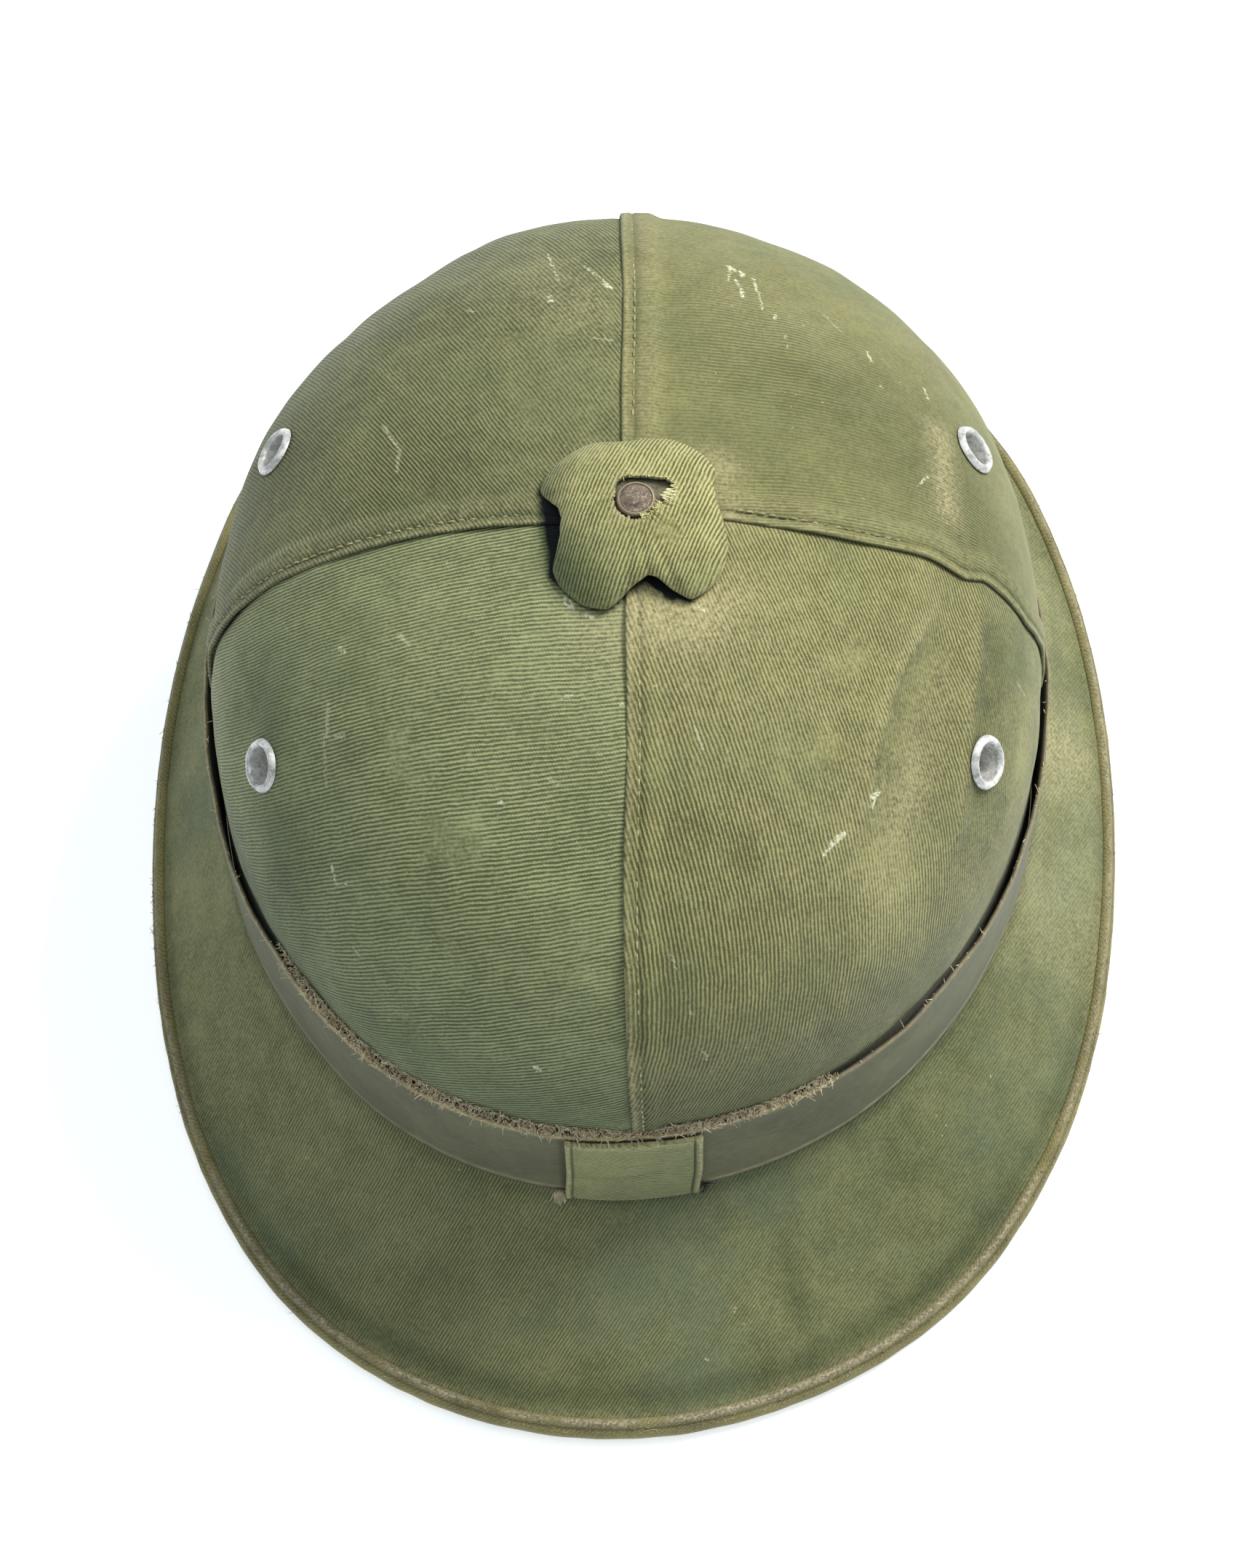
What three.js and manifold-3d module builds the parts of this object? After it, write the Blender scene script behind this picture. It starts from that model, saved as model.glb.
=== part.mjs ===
// A sun helmet (pith helmet) of olive cotton twill over a pressed shell, in millimetres.
// Z is up and the rim rests on z = 0. The wearer faces -Y, so the front tab is at -Y, and +X is the wearer's left.
// Plan angles ("deg") start at the front and grow towards +X.
import * as THREE from "three";
import { mergeVertices } from "three/addons/utils/BufferGeometryUtils.js";
import Module from "manifold-3d";

// ---- driving dimensions -------------------------------------------------
const CENTRE = { x: 1.35, y: -4.65 }; // middle of the rim's outline, moved to the origin
const AROUND = 36; // stations round the hat
const CROWN_TOP = 142.4; // cloth surface at the top of the crown
const BAND_TOP = 63.8, // height of the band's free edge
  BAND_FOOT = 29.4, // height of the band's sewn edge
  WALL_FLARE = 2.0; // the wall behind the band leans out this much over its height
const TOP_SHIFT = 1.74; // the top of the crown leans towards +X
const CROWN_POWER = { side: 2.31, front: 2.39, back: 2.22 }; // roundness of the crown's arc, 2 is an ellipse
const CLOTH = 1.2, // twill cover
  GAP = 0.3, // clearance between pieces
  SHELL = 3.0, // pressed shell in the crown
  SHELL_EDGE = 1.9; // pressed shell at the rim
const SEAM_GAP = 0.3; // half of the space between two crown panels
const PANEL_FOOT = 36.5, // lower edge of the crown panels, behind the band
  COVER_HEAD = 34.5; // upper edge of the brim cover, behind the band
const BAND = { thick: 1.0, standoffSide: 1.8, standoffEnd: 0.6 };
const BEAD = { r: 3.1, lift: 2.85, lipAt: 1.9, flat: 1.2 }; // rolled rim edge
const TIP_R = 4.0; // the cloth and the shell end this far from the crown's middle

// Outline in plan, by angle: crown at the band's free edge, and outside of the rim.
const PLAN = [
  { deg: -180, crown: 117.4, rim: 155.6 },
  { deg: -165, crown: 116.2, rim: 153.6 },
  { deg: -150, crown: 112.7, rim: 147.5 },
  { deg: -135, crown: 108.3, rim: 139.0 },
  { deg: -120, crown: 103.6, rim: 128.3 },
  { deg: -105, crown: 98.9, rim: 122.0 },
  { deg: -90, crown: 96.9, rim: 120.1 },
  { deg: -75, crown: 97.5, rim: 123.1 },
  { deg: -60, crown: 100.1, rim: 131.6 },
  { deg: -45, crown: 103.5, rim: 144.0 },
  { deg: -30, crown: 108.0, rim: 156.6 },
  { deg: -15, crown: 110.4, rim: 163.6 },
  { deg: 0, crown: 110.7, rim: 164.9 },
  { deg: 15, crown: 109.0, rim: 161.3 },
  { deg: 30, crown: 106.3, rim: 154.5 },
  { deg: 45, crown: 102.8, rim: 143.4 },
  { deg: 60, crown: 99.8, rim: 132.8 },
  { deg: 75, crown: 97.9, rim: 125.3 },
  { deg: 90, crown: 97.2, rim: 122.8 },
  { deg: 105, crown: 99.2, rim: 125.2 },
  { deg: 120, crown: 103.9, rim: 131.8 },
  { deg: 135, crown: 108.6, rim: 141.8 },
  { deg: 150, crown: 112.9, rim: 150.0 },
  { deg: 165, crown: 116.3, rim: 154.6 },
];

// Section of the brim from its fillet to the rim: share of the way out, share of the way down.
const BRIM = [
  { out: 0.2, drop: 0.26 },
  { out: 0.5, drop: 0.57 },
  { out: 0.78, drop: 0.83 },
  { out: 1, drop: 1 },
];
const FILLET = [
  { out: 0.6, z: 27.8 },
  { out: 1.8, z: 27.0 },
];

// Hollows pressed into the crown: middle in plan, half lengths along and across, turn of the long
// way from +Y towards -X, and depth (negative stands out).
const DENTS = [
  { name: "right_front_valley", x: 68, y: -34, along: 30, across: 7, turn: -12, depth: 2.4 },
  { name: "valley_left_ridge", x: 58, y: -36, along: 34, across: 6, turn: -12, depth: -0.7 },
  { name: "valley_right_ridge", x: 77, y: -30, along: 26, across: 5, turn: -10, depth: -0.7 },
  { name: "back_left_flat", x: -66, y: 78, along: 30, across: 18, turn: 40, depth: 1.2 },
  { name: "back_flat", x: -42, y: 88, along: 18, across: 12, turn: 60, depth: 1.2 },
  { name: "left_front_fold", x: -82, y: -22, along: 22, across: 5, turn: 0, depth: 0.7 },
];

// Seams between the four crown panels, by plan angle.
const SEAM = { front: 0.5, right: 88.5, back: 180.5, left: 270.5 };

// Vent eyelets: plan angle and arc angle of the crown.
const EYELETS = [
  { name: "eyelet_left_front", deg: -63.5, arc: 28 },
  { name: "eyelet_right_front", deg: 62.5, arc: 29.5 },
  { name: "eyelet_left_back", deg: -115, arc: 32 },
  { name: "eyelet_right_back", deg: 114, arc: 34.5 },
];
const EYELET = { hole: 4.0, barrel: 4.6, clear: 5.0, flange: 6.1, back: 5.6, rise: 1.3 };

// Four-lobed ventilator cap.
const CAP = { x: 3.1, y: -0.4, lobe: 22.5, lobeFront: 1.1, rise: 9.0, thick: 1.1, core: 1.5, foot: 0.5 };
const CAP_NOTCHES = [
  { name: "front", deg: 9, depth: 7.6, wide: 15, lift: 3.4 },
  { name: "right", deg: 101, depth: 3.4, wide: 18, lift: 1.8 },
  { name: "back", deg: -177, depth: 2.2, wide: 14, lift: 1.6 },
  { name: "left", deg: -82, depth: 6.8, wide: 20, lift: 3.6 },
];
const RIVET = { x: 3.6, y: 0, head: 4.1, rise: 2.2, shank: 1.6, tail: 6.3 };
const TAB = { deg: 1.1, halfWide: 15.7, thick: 1.2, foot: 28.9, head: 63.0 };

// ---- helpers --------------------------------------------------------------
const rad = THREE.MathUtils.degToRad;
const wrap = (d) => ((((d + 180) % 360) + 360) % 360) - 180;

// smooth closed curve through a column of PLAN
function plan(column, deg) {
  const n = PLAN.length,
    x = (wrap(deg) + 180) / (360 / n),
    i = Math.floor(x),
    t = x - i;
  const [a, b, c, d] = [i - 1, i, i + 1, i + 2].map((k) => PLAN[(k + n) % n][column]);
  return b + 0.5 * t * (c - a + t * (2 * a - 5 * b + 4 * c - d + t * (3 * (b - c) + d - a)));
}

function dentAt(x, y) {
  let sum = 0;
  for (const d of DENTS) {
    const c = Math.cos(rad(d.turn)),
      s = Math.sin(rad(d.turn)),
      u = -(x - d.x) * s + (y - d.y) * c,
      v = (x - d.x) * c + (y - d.y) * s;
    sum += d.depth * Math.exp(-((u / d.along) ** 2) - (v / d.across) ** 2);
  }
  return sum;
}

// The cloth's outer surface along one meridian. Each station has a radius r, a height z and a shift of the top.
const ARCS = [82, 73, 63, 52, 40, 27, 13, 6, 0];
function arcPoint(deg, arc) {
  const s2 = Math.sin(rad(deg)) ** 2,
    end = Math.cos(rad(deg)) > 0 ? CROWN_POWER.front : CROWN_POWER.back,
    p = CROWN_POWER.side * s2 + end * (1 - s2),
    k = Math.cos(rad(arc)) ** (2 / p),
    h = Math.sin(rad(arc)) ** (2 / p);
  return { r: plan("crown", deg) * k, z: BAND_TOP + (CROWN_TOP - BAND_TOP) * h, shift: TOP_SHIFT * h };
}
function tipArc(deg) {
  // arc angle at which the crown is TIP_R from its middle
  const s2 = Math.sin(rad(deg)) ** 2,
    end = Math.cos(rad(deg)) > 0 ? CROWN_POWER.front : CROWN_POWER.back,
    p = CROWN_POWER.side * s2 + end * (1 - s2);
  return THREE.MathUtils.radToDeg(Math.acos((TIP_R / plan("crown", deg)) ** (p / 2)));
}
function meridian(deg) {
  const crown = plan("crown", deg),
    rim = plan("rim", deg),
    list = [{ id: "tip", ...arcPoint(deg, tipArc(deg)) }];
  for (const arc of ARCS) list.push({ id: "arc" + arc, ...arcPoint(deg, arc) });
  const wall = (id, z) => {
    list.push({ id, r: crown + (WALL_FLARE * (BAND_TOP - z)) / (BAND_TOP - BAND_FOOT), z, shift: 0 });
  };
  wall("panelFoot", PANEL_FOOT);
  wall("coverHead", COVER_HEAD);
  wall("bandFoot", BAND_FOOT);
  const foot = crown + WALL_FLARE;
  FILLET.forEach((f, i) => list.push({ id: "fillet" + i, r: foot + f.out, z: f.z, shift: 0 }));
  const from = { r: foot + FILLET[1].out, z: FILLET[1].z },
    to = { r: rim - BEAD.r + 0.7, z: BEAD.lift + 1.45 };
  for (const b of BRIM)
    list.push({
      id: "brim" + b.out,
      r: from.r + (to.r - from.r) * b.out,
      z: from.z + (to.z - from.z) * b.drop,
      shift: 0,
    });
  // outward normals of the polyline, with the miter that keeps a wall's thickness
  list.forEach((s, i) => {
    const a = list[Math.max(i - 1, 0)],
      b = list[Math.min(i + 1, list.length - 1)];
    const n1 = new THREE.Vector2(-(s.z - a.z), s.r - a.r),
      n2 = new THREE.Vector2(-(b.z - s.z), b.r - s.r);
    if (i === 0) n1.copy(n2);
    if (i === list.length - 1) n2.copy(n1);
    n1.normalize();
    n2.normalize();
    const n = n1.clone().add(n2).normalize();
    s.n = n.multiplyScalar(1 / Math.max(n.dot(n1), 0.6));
  });
  const dir = new THREE.Vector2(Math.sin(rad(deg)), -Math.cos(rad(deg)));
  for (const s of list) {
    s.dent = s.z > BAND_TOP + 0.01 ? dentAt(dir.x * s.r + s.shift, dir.y * s.r) : 0;
    if (s.id === "arc6") s.dent *= 0.6;
    s.at = (off) => {
      const o = off - s.dent,
        r = s.r + s.n.x * o,
        z = s.z + s.n.y * o;
      return new THREE.Vector3(dir.x * r + s.shift - CENTRE.x, dir.y * r - CENTRE.y, z);
    };
  }
  return Object.fromEntries(list.map((s) => [s.id, s]));
}
const IDS = ["tip", ...ARCS.map((a) => "arc" + a), "panelFoot", "coverHead", "bandFoot", "fillet0", "fillet1", ...BRIM.map((b) => "brim" + b.out)];
const idsBetween = (a, b) => IDS.slice(IDS.indexOf(a), IDS.indexOf(b) + 1);
const degs = Array.from({ length: AROUND }, (_, i) => (360 / AROUND) * i);

// A closed body from closed sections, either round the hat or between two flat ends.
// Open bodies take sections whose first half runs out along one face and second half back along the other.
function loft(sections, closed) {
  const m = sections[0].length,
    n = sections.length,
    pos = sections.flat().flatMap((v) => [v.x, v.y, v.z]),
    index = [];
  const quad = (a, b, c, d) => index.push(a, b, c, a, c, d);
  for (let i = 0; i < (closed ? n : n - 1); i++)
    for (let j = 0; j < m; j++) {
      const i2 = (i + 1) % n,
        j2 = (j + 1) % m;
      // the way back is split the other way, so that both faces of a wall bend alike
      if (j < m / 2) quad(i * m + j, i2 * m + j, i2 * m + j2, i * m + j2);
      else quad(i2 * m + j, i2 * m + j2, i * m + j2, i * m + j);
    }
  if (!closed)
    for (let j = 0; j < m / 2 - 1; j++) {
      quad(j, j + 1, m - 2 - j, m - 1 - j);
      const o = (n - 1) * m;
      quad(o + j + 1, o + j, o + m - 1 - j, o + m - 2 - j);
    }
  const g = new THREE.BufferGeometry();
  g.setAttribute("position", new THREE.Float32BufferAttribute(pos, 3));
  g.setIndex(index);
  return faceOut(g);
}
function faceOut(g) {
  const p = g.getAttribute("position"),
    idx = g.index.array,
    a = new THREE.Vector3(),
    b = new THREE.Vector3(),
    c = new THREE.Vector3();
  let v = 0;
  for (let i = 0; i < idx.length; i += 3) {
    a.fromBufferAttribute(p, idx[i]);
    b.fromBufferAttribute(p, idx[i + 1]);
    c.fromBufferAttribute(p, idx[i + 2]);
    v += a.dot(b.cross(c));
  }
  if (v < 0) for (let i = 0; i < idx.length; i += 3) [idx[i + 1], idx[i + 2]] = [idx[i + 2], idx[i + 1]];
  return g;
}
const wasm = await Module();
wasm.setup();
function toSolid(geometry) {
  const g = geometry.clone();
  g.deleteAttribute("normal");
  g.deleteAttribute("uv");
  const merged = mergeVertices(g, 1e-4);
  return new wasm.Manifold(
    new wasm.Mesh({
      numProp: 3,
      vertProperties: new Float32Array(merged.getAttribute("position").array),
      triVerts: new Uint32Array(merged.index.array),
    }),
  );
}
function toGeometry(solid) {
  const m = solid.getMesh(),
    v = new Float32Array(m.numVert * 3);
  for (let i = 0; i < m.numVert; i++) v.set(m.vertProperties.subarray(i * m.numProp, i * m.numProp + 3), i * 3);
  const g = new THREE.BufferGeometry();
  g.setAttribute("position", new THREE.BufferAttribute(v, 3));
  g.setIndex(new THREE.BufferAttribute(new Uint32Array(m.triVerts), 1));
  return g;
}
const helmet = new THREE.Group();
helmet.name = "sun_helmet";
function piece(name, geometry, color, roughness = 0.9, metalness = 0) {
  const g = geometry;
  g.computeVertexNormals();
  const mesh = new THREE.Mesh(g, new THREE.MeshStandardMaterial({ color, roughness, metalness }));
  mesh.name = name;
  helmet.add(mesh);
  return mesh;
}

// ---- where the eyelets sit --------------------------------------------------
// A frame on the crown's surface: its point and its outward normal.
function seatOn(deg, arc) {
  const at = (d, a) => {
    const s = arcPoint(d, a),
      x = Math.sin(rad(d)) * s.r + s.shift,
      y = -Math.cos(rad(d)) * s.r;
    return new THREE.Vector3(x - CENTRE.x, y - CENTRE.y, s.z);
  };
  const p = at(deg, arc),
    du = at(deg + 0.5, arc).sub(at(deg - 0.5, arc)),
    dv = at(deg, arc + 0.5).sub(at(deg, arc - 0.5)),
    n = du.cross(dv).normalize();
  if (n.dot(p) < 0) n.negate();
  p.addScaledVector(n, -dentAt(p.x + CENTRE.x, p.y + CENTRE.y));
  return { p, n, turn: new THREE.Quaternion().setFromUnitVectors(new THREE.Vector3(0, 1, 0), n) };
}
const seats = EYELETS.map((e) => ({ ...e, ...seatOn(e.deg, e.arc) }));
const drills = seats.map((s) => {
  const g = new THREE.CylinderGeometry(EYELET.clear, EYELET.clear, 24, 14);
  g.applyQuaternion(s.turn);
  g.translate(s.p.x, s.p.y, s.p.z);
  return toSolid(g);
});
const drill = (geometry) => {
  let solid = toSolid(geometry);
  for (const d of drills) if (solid.intersect(d).volume() > 0) solid = solid.subtract(d);
  return toGeometry(solid);
};

// ---- shell ------------------------------------------------------------------
// One pressed shell: crown, wall and brim, open below.
const shellOut = IDS.filter((id) => !["panelFoot", "arc6"].includes(id));
const shellIn = ["brim1", "brim0.5", "brim0.2", "bandFoot", "arc0", "arc13", "arc27", "arc40", "arc52", "arc63", "arc73", "arc82", "tip"];
const shellTop = -(CLOTH + GAP);
const shellThick = (id) => (id.startsWith("brim") ? SHELL_EDGE + (SHELL - SHELL_EDGE) * (1 - Number(id.slice(4))) : SHELL);
piece(
  "shell",
  drill(
    loft(
      degs.map((d) => {
        const m = meridian(d);
        return [...shellOut.map((id) => m[id].at(shellTop)), ...shellIn.map((id) => m[id].at(shellTop - shellThick(id)))];
      }),
      true,
    ),
  ),
  "#8c7a58",
);

// ---- crown panels -----------------------------------------------------------
const panelIds = idsBetween("tip", "panelFoot");
function panel(name, from, to, color) {
  const inside = [];
  for (let k = -AROUND; k < 2 * AROUND; k++) {
    const d = (360 / AROUND) * k;
    if (d > from + 1.2 && d < to - 1.2) inside.push(d);
  }
  // The sides stay parallel to the seam, on the facets between two stations.
  const side = (seam, sign) => (id) => ({
    at: (off) => {
      const step = 360 / AROUND,
        away = THREE.MathUtils.radToDeg(SEAM_GAP / Math.max(meridian(seam)[id].r, TIP_R)),
        d = (seam + sign * away) / step,
        a = meridian(Math.floor(d) * step)[id].at(off),
        b = meridian((Math.floor(d) + 1) * step)[id].at(off);
      return a.lerp(b, d - Math.floor(d));
    },
  });
  const stations = [side(from, 1), ...inside.map((d) => { const m = meridian(d); return (id) => m[id]; }), side(to, -1)];
  piece(
    name,
    drill(loft(stations.map((st) => [...panelIds.map((id) => st(id).at(0)), ...[...panelIds].reverse().map((id) => st(id).at(-CLOTH))]), false)),
    color,
  );
}
panel("panel_front_right", SEAM.front, SEAM.right, "#7d7f4e");
panel("panel_back_right", SEAM.right, SEAM.back, "#85865a");
panel("panel_back_left", SEAM.back, SEAM.left, "#6e7151");
panel("panel_front_left", SEAM.left, SEAM.front + 360, "#5f6b4a");

// ---- brim cover -------------------------------------------------------------
const coverIds = idsBetween("coverHead", "brim1");
piece(
  "brim_cover",
  loft(
    degs.map((d) => {
      const m = meridian(d);
      return [...coverIds.map((id) => m[id].at(0)), ...[...coverIds].reverse().map((id) => m[id].at(-CLOTH))];
    }),
    true,
  ),
  "#74784e",
);

// ---- rolled rim -------------------------------------------------------------
// A round roll that grips the edge of the cover and the shell in a slot and stands on a narrow flat.
piece(
  "brim_binding",
  loft(
    degs.map((d) => {
      const m = meridian(d),
        dir = new THREE.Vector2(Math.sin(rad(d)), -Math.cos(rad(d))),
        tip = m["brim1"],
        before = m["brim0.78"],
        t = new THREE.Vector2(tip.r - before.r, tip.z - before.z).normalize(),
        n = new THREE.Vector2(-t.y, t.x),
        half = (CLOTH + GAP + SHELL_EDGE) / 2,
        mid = new THREE.Vector2(tip.r, tip.z).addScaledVector(n, -half),
        c = new THREE.Vector2(plan("rim", d) - BEAD.r, BEAD.lift),
        slope = THREE.MathUtils.radToDeg(Math.atan2(-t.y, t.x)),
        open = THREE.MathUtils.radToDeg(Math.acos(BEAD.lipAt / BEAD.r)),
        upper = 180 - open - slope,
        lower = -180 + open - slope,
        low = -THREE.MathUtils.radToDeg(Math.acos(BEAD.flat / BEAD.r)),
        ring = [];
      for (let k = 0; k <= 4; k++) ring.push(upper + ((low - upper) * k) / 4);
      ring.push(-180 - low, (-180 - low + lower) / 2, lower);
      const pts = ring.map((a) => new THREE.Vector2(c.x + BEAD.r * Math.cos(rad(a)), Math.max(c.y + BEAD.r * Math.sin(rad(a)), 0)));
      const slot = (along, across) => mid.clone().addScaledVector(t, along).addScaledVector(n, across);
      const deep = 0.45,
        wide = half + GAP,
        mouth = c.clone().addScaledVector(t, -BEAD.lipAt).sub(mid).dot(t);
      pts.push(slot(mouth, -wide), slot(deep, -wide), slot(deep, wide), slot(mouth, wide));
      return pts.map((q) => new THREE.Vector3(dir.x * q.x - CENTRE.x, dir.y * q.x - CENTRE.y, q.y));
    }),
    true,
  ),
  "#7f7a5c",
);

// ---- hat band ---------------------------------------------------------------
// Sewn along its foot, free along its top: it stands off the crown most at the sides.
const standoff = (d) => BAND.standoffEnd + (BAND.standoffSide - BAND.standoffEnd) * Math.abs(Math.sin(rad(d))) ** 0.8;
const bandAt = (d, z, off) => {
  const t = (z - BAND_FOOT) / (BAND_TOP - BAND_FOOT),
    wall = plan("crown", d) + WALL_FLARE * (1 - t),
    r = wall + GAP + (standoff(d) - GAP) * t ** 1.2 + off;
  return new THREE.Vector3(Math.sin(rad(d)) * r - CENTRE.x, -Math.cos(rad(d)) * r - CENTRE.y, z);
};
const bandZ = [BAND_FOOT, (BAND_FOOT + BAND_TOP) / 2, BAND_TOP];
piece(
  "hat_band",
  loft(
    degs.map((d) => [...bandZ.map((z) => bandAt(d, z, BAND.thick)), ...[...bandZ].reverse().map((z) => bandAt(d, z, 0))]),
    true,
  ),
  "#666c52",
);

// ---- front tab --------------------------------------------------------------
const tabZ = [TAB.foot, (TAB.foot + TAB.head) / 2, TAB.head],
  tabHalf = THREE.MathUtils.radToDeg(TAB.halfWide / (plan("crown", 0) + 4));
piece(
  "front_tab",
  loft(
    [-1, -0.5, 0, 0.5, 1].map((u) => {
      const d = TAB.deg + u * tabHalf,
        lift = 0.45 + BAND.thick;
      return [
        ...tabZ.map((z) => bandAt(d, Math.max(z, BAND_FOOT), lift + TAB.thick).setZ(z)),
        ...[...tabZ].reverse().map((z) => bandAt(d, Math.max(z, BAND_FOOT), lift).setZ(z)),
      ];
    }),
    false,
  ),
  "#737850",
);

// ---- eyelets ----------------------------------------------------------------
// One turned ring each: domed flange outside, barrel through cloth and shell, rolled flange inside.
const wallDepth = CLOTH + GAP + SHELL;
const eyeletProfile = [
  { r: EYELET.hole, y: -wallDepth - 3.1 },
  { r: EYELET.back, y: -wallDepth - 3.1 },
  { r: EYELET.back, y: -wallDepth - 2.4 },
  { r: EYELET.barrel, y: -wallDepth - 2.4 },
  { r: EYELET.barrel, y: 0.35 },
  { r: EYELET.flange, y: 0.35 },
  { r: EYELET.flange - 0.9, y: EYELET.rise },
  { r: EYELET.hole + 0.4, y: EYELET.rise },
].map((p) => new THREE.Vector2(p.r, p.y));
for (const s of seats) {
  const g = new THREE.LatheGeometry([...eyeletProfile, eyeletProfile[0]], 14);
  const m = piece(s.name, g, "#c9c8c4", 0.45, 0.8);
  m.quaternion.copy(s.turn);
  m.position.copy(s.p);
}

// ---- ventilator cap -----------------------------------------------------------
// A clover-shaped dome over the middle of the crown. Its lobes stand on the cloth, and its rim lifts between them.
const capNotch = (deg, n) => Math.exp(-(Math.abs(wrap(deg - n.deg) / n.wide) ** 4));
const capR = (deg) => CAP.lobe + CAP.lobeFront * Math.cos(rad(deg)) - CAP_NOTCHES.reduce((s, n) => s + n.depth * capNotch(deg, n), 0);
const capLift = (deg) => CAP_NOTCHES.reduce((s, n) => s + n.lift * capNotch(deg, n), 0);
// height of the crown's cloth under a plan point
function crownHeight(x, y) {
  let lo = 0,
    hi = 89.99;
  const r0 = (a) => {
    const d = THREE.MathUtils.radToDeg(Math.atan2(x - TOP_SHIFT, -y)),
      s = arcPoint(d, a);
    return s.r - Math.hypot(x - TOP_SHIFT, y);
  };
  for (let i = 0; i < 40; i++) {
    const mid = (lo + hi) / 2;
    if (r0(mid) > 0) lo = mid;
    else hi = mid;
  }
  return arcPoint(THREE.MathUtils.radToDeg(Math.atan2(x - TOP_SHIFT, -y)), lo).z;
}
const CAP_TOP = CROWN_TOP + 0.4 + CAP.rise;
// share of the way out, share of the way down
const DOME = [
  { out: 0.45, drop: 0.14 },
  { out: 0.68, drop: 0.33 },
  { out: 0.85, drop: 0.58 },
  { out: 0.96, drop: 0.82 },
  { out: 1, drop: 1 },
];
function capPoint(deg, row, inset) {
  const dirX = Math.sin(rad(deg)),
    dirY = -Math.cos(rad(deg)),
    R = capR(deg) - inset,
    edge = crownHeight(CAP.x + dirX * R, CAP.y + dirY * R) + CAP.foot + capLift(deg),
    r = R * row.out,
    z = CAP_TOP - inset - (CAP_TOP - inset - edge) * row.drop;
  return new THREE.Vector3(CAP.x + dirX * r - CENTRE.x, CAP.y + dirY * r - CENTRE.y, z);
}
function dome(name, around, inset, thick, hole, steps, color) {
  const rows = [{ r0: hole, out: 0, drop: 0 }, ...steps];
  piece(
    name,
    loft(
      Array.from({ length: around }, (_, i) => {
        const d = (360 / around) * i;
        const at = (ins, row) => (row.r0 ? capPoint(d, { out: row.r0 / (capR(d) - ins), drop: 0.01 }, ins) : capPoint(d, row, ins));
        return [...rows.map((r) => at(inset, r)), ...[...rows].reverse().map((r) => at(inset + thick, r))];
      }),
      true,
    ),
    color,
  );
}
dome("vent_cap", 32, 0, CAP.thick, 6.2, DOME, "#7b7c50");
dome("cap_core", 32, CAP.thick + 0.45, CAP.core, RIVET.shank + 1.1, [DOME[0], DOME[2], DOME[4]], "#4c5248");

// ---- cap rivet ------------------------------------------------------------------
// Domed head on the cap's core, shank down through the crown, clenched tail inside the shell.
const coreTop = CAP_TOP - CAP.thick - 0.45,
  shellInside = CROWN_TOP - CLOTH - GAP - SHELL;
const rivet = [
  { r: 0, z: shellInside - 1.4 },
  { r: RIVET.tail, z: shellInside - 1.4 },
  { r: RIVET.tail, z: shellInside - 0.4 },
  { r: RIVET.shank, z: shellInside - 0.4 },
  { r: RIVET.shank, z: coreTop + 0.3 },
  { r: RIVET.head, z: coreTop + 0.3 },
  { r: RIVET.head - 0.3, z: coreTop + 1.2 },
  { r: RIVET.head * 0.55, z: coreTop + RIVET.rise - 0.2 },
  { r: 0, z: coreTop + RIVET.rise + 0.1 },
].map((p) => new THREE.Vector2(p.r, p.z));
const rivetMesh = piece("cap_rivet", new THREE.LatheGeometry(rivet, 16), "#6b6354", 0.5, 0.7);
rivetMesh.rotation.x = Math.PI / 2;
rivetMesh.position.set(RIVET.x - CENTRE.x, RIVET.y - CENTRE.y, 0);

export default helmet;
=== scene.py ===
import math

import bpy
import numpy as np
from mathutils import Matrix, Vector


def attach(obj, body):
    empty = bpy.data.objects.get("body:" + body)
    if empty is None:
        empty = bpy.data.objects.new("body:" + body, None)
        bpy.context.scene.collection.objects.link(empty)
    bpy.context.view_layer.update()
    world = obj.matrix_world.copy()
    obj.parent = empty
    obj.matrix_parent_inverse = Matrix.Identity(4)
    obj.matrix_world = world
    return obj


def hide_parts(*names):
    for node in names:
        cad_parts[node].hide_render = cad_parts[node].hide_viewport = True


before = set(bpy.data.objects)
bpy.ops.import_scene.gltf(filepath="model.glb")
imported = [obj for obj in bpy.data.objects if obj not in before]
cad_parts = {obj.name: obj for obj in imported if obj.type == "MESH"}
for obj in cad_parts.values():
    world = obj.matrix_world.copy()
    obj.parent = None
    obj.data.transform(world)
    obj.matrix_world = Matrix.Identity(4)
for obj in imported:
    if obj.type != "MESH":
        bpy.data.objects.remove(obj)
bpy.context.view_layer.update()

# ---------------------------------------------------------------- dimensions (mm)
CENTRE = (1.35, -4.65)
CROWN_TOP, BAND_TOP, BAND_FOOT = 142.4, 63.8, 29.4
WALL_FLARE, TOP_SHIFT = 2.0, 1.74
POWER_SIDE, POWER_FRONT, POWER_BACK = 2.31, 2.39, 2.22
CLOTH, GAP, SHELL, SHELL_EDGE = 1.2, 0.3, 3.0, 1.9
PANEL_FOOT, COVER_HEAD = 36.5, 34.5
BAND_THICK, STAND_SIDE, STAND_END = 1.0, 1.8, 0.6
BEAD_R, BEAD_LIFT, BEAD_LIP, BEAD_FLAT = 3.1, 2.85, 1.9, 1.2
TIP_R = 4.0
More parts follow.
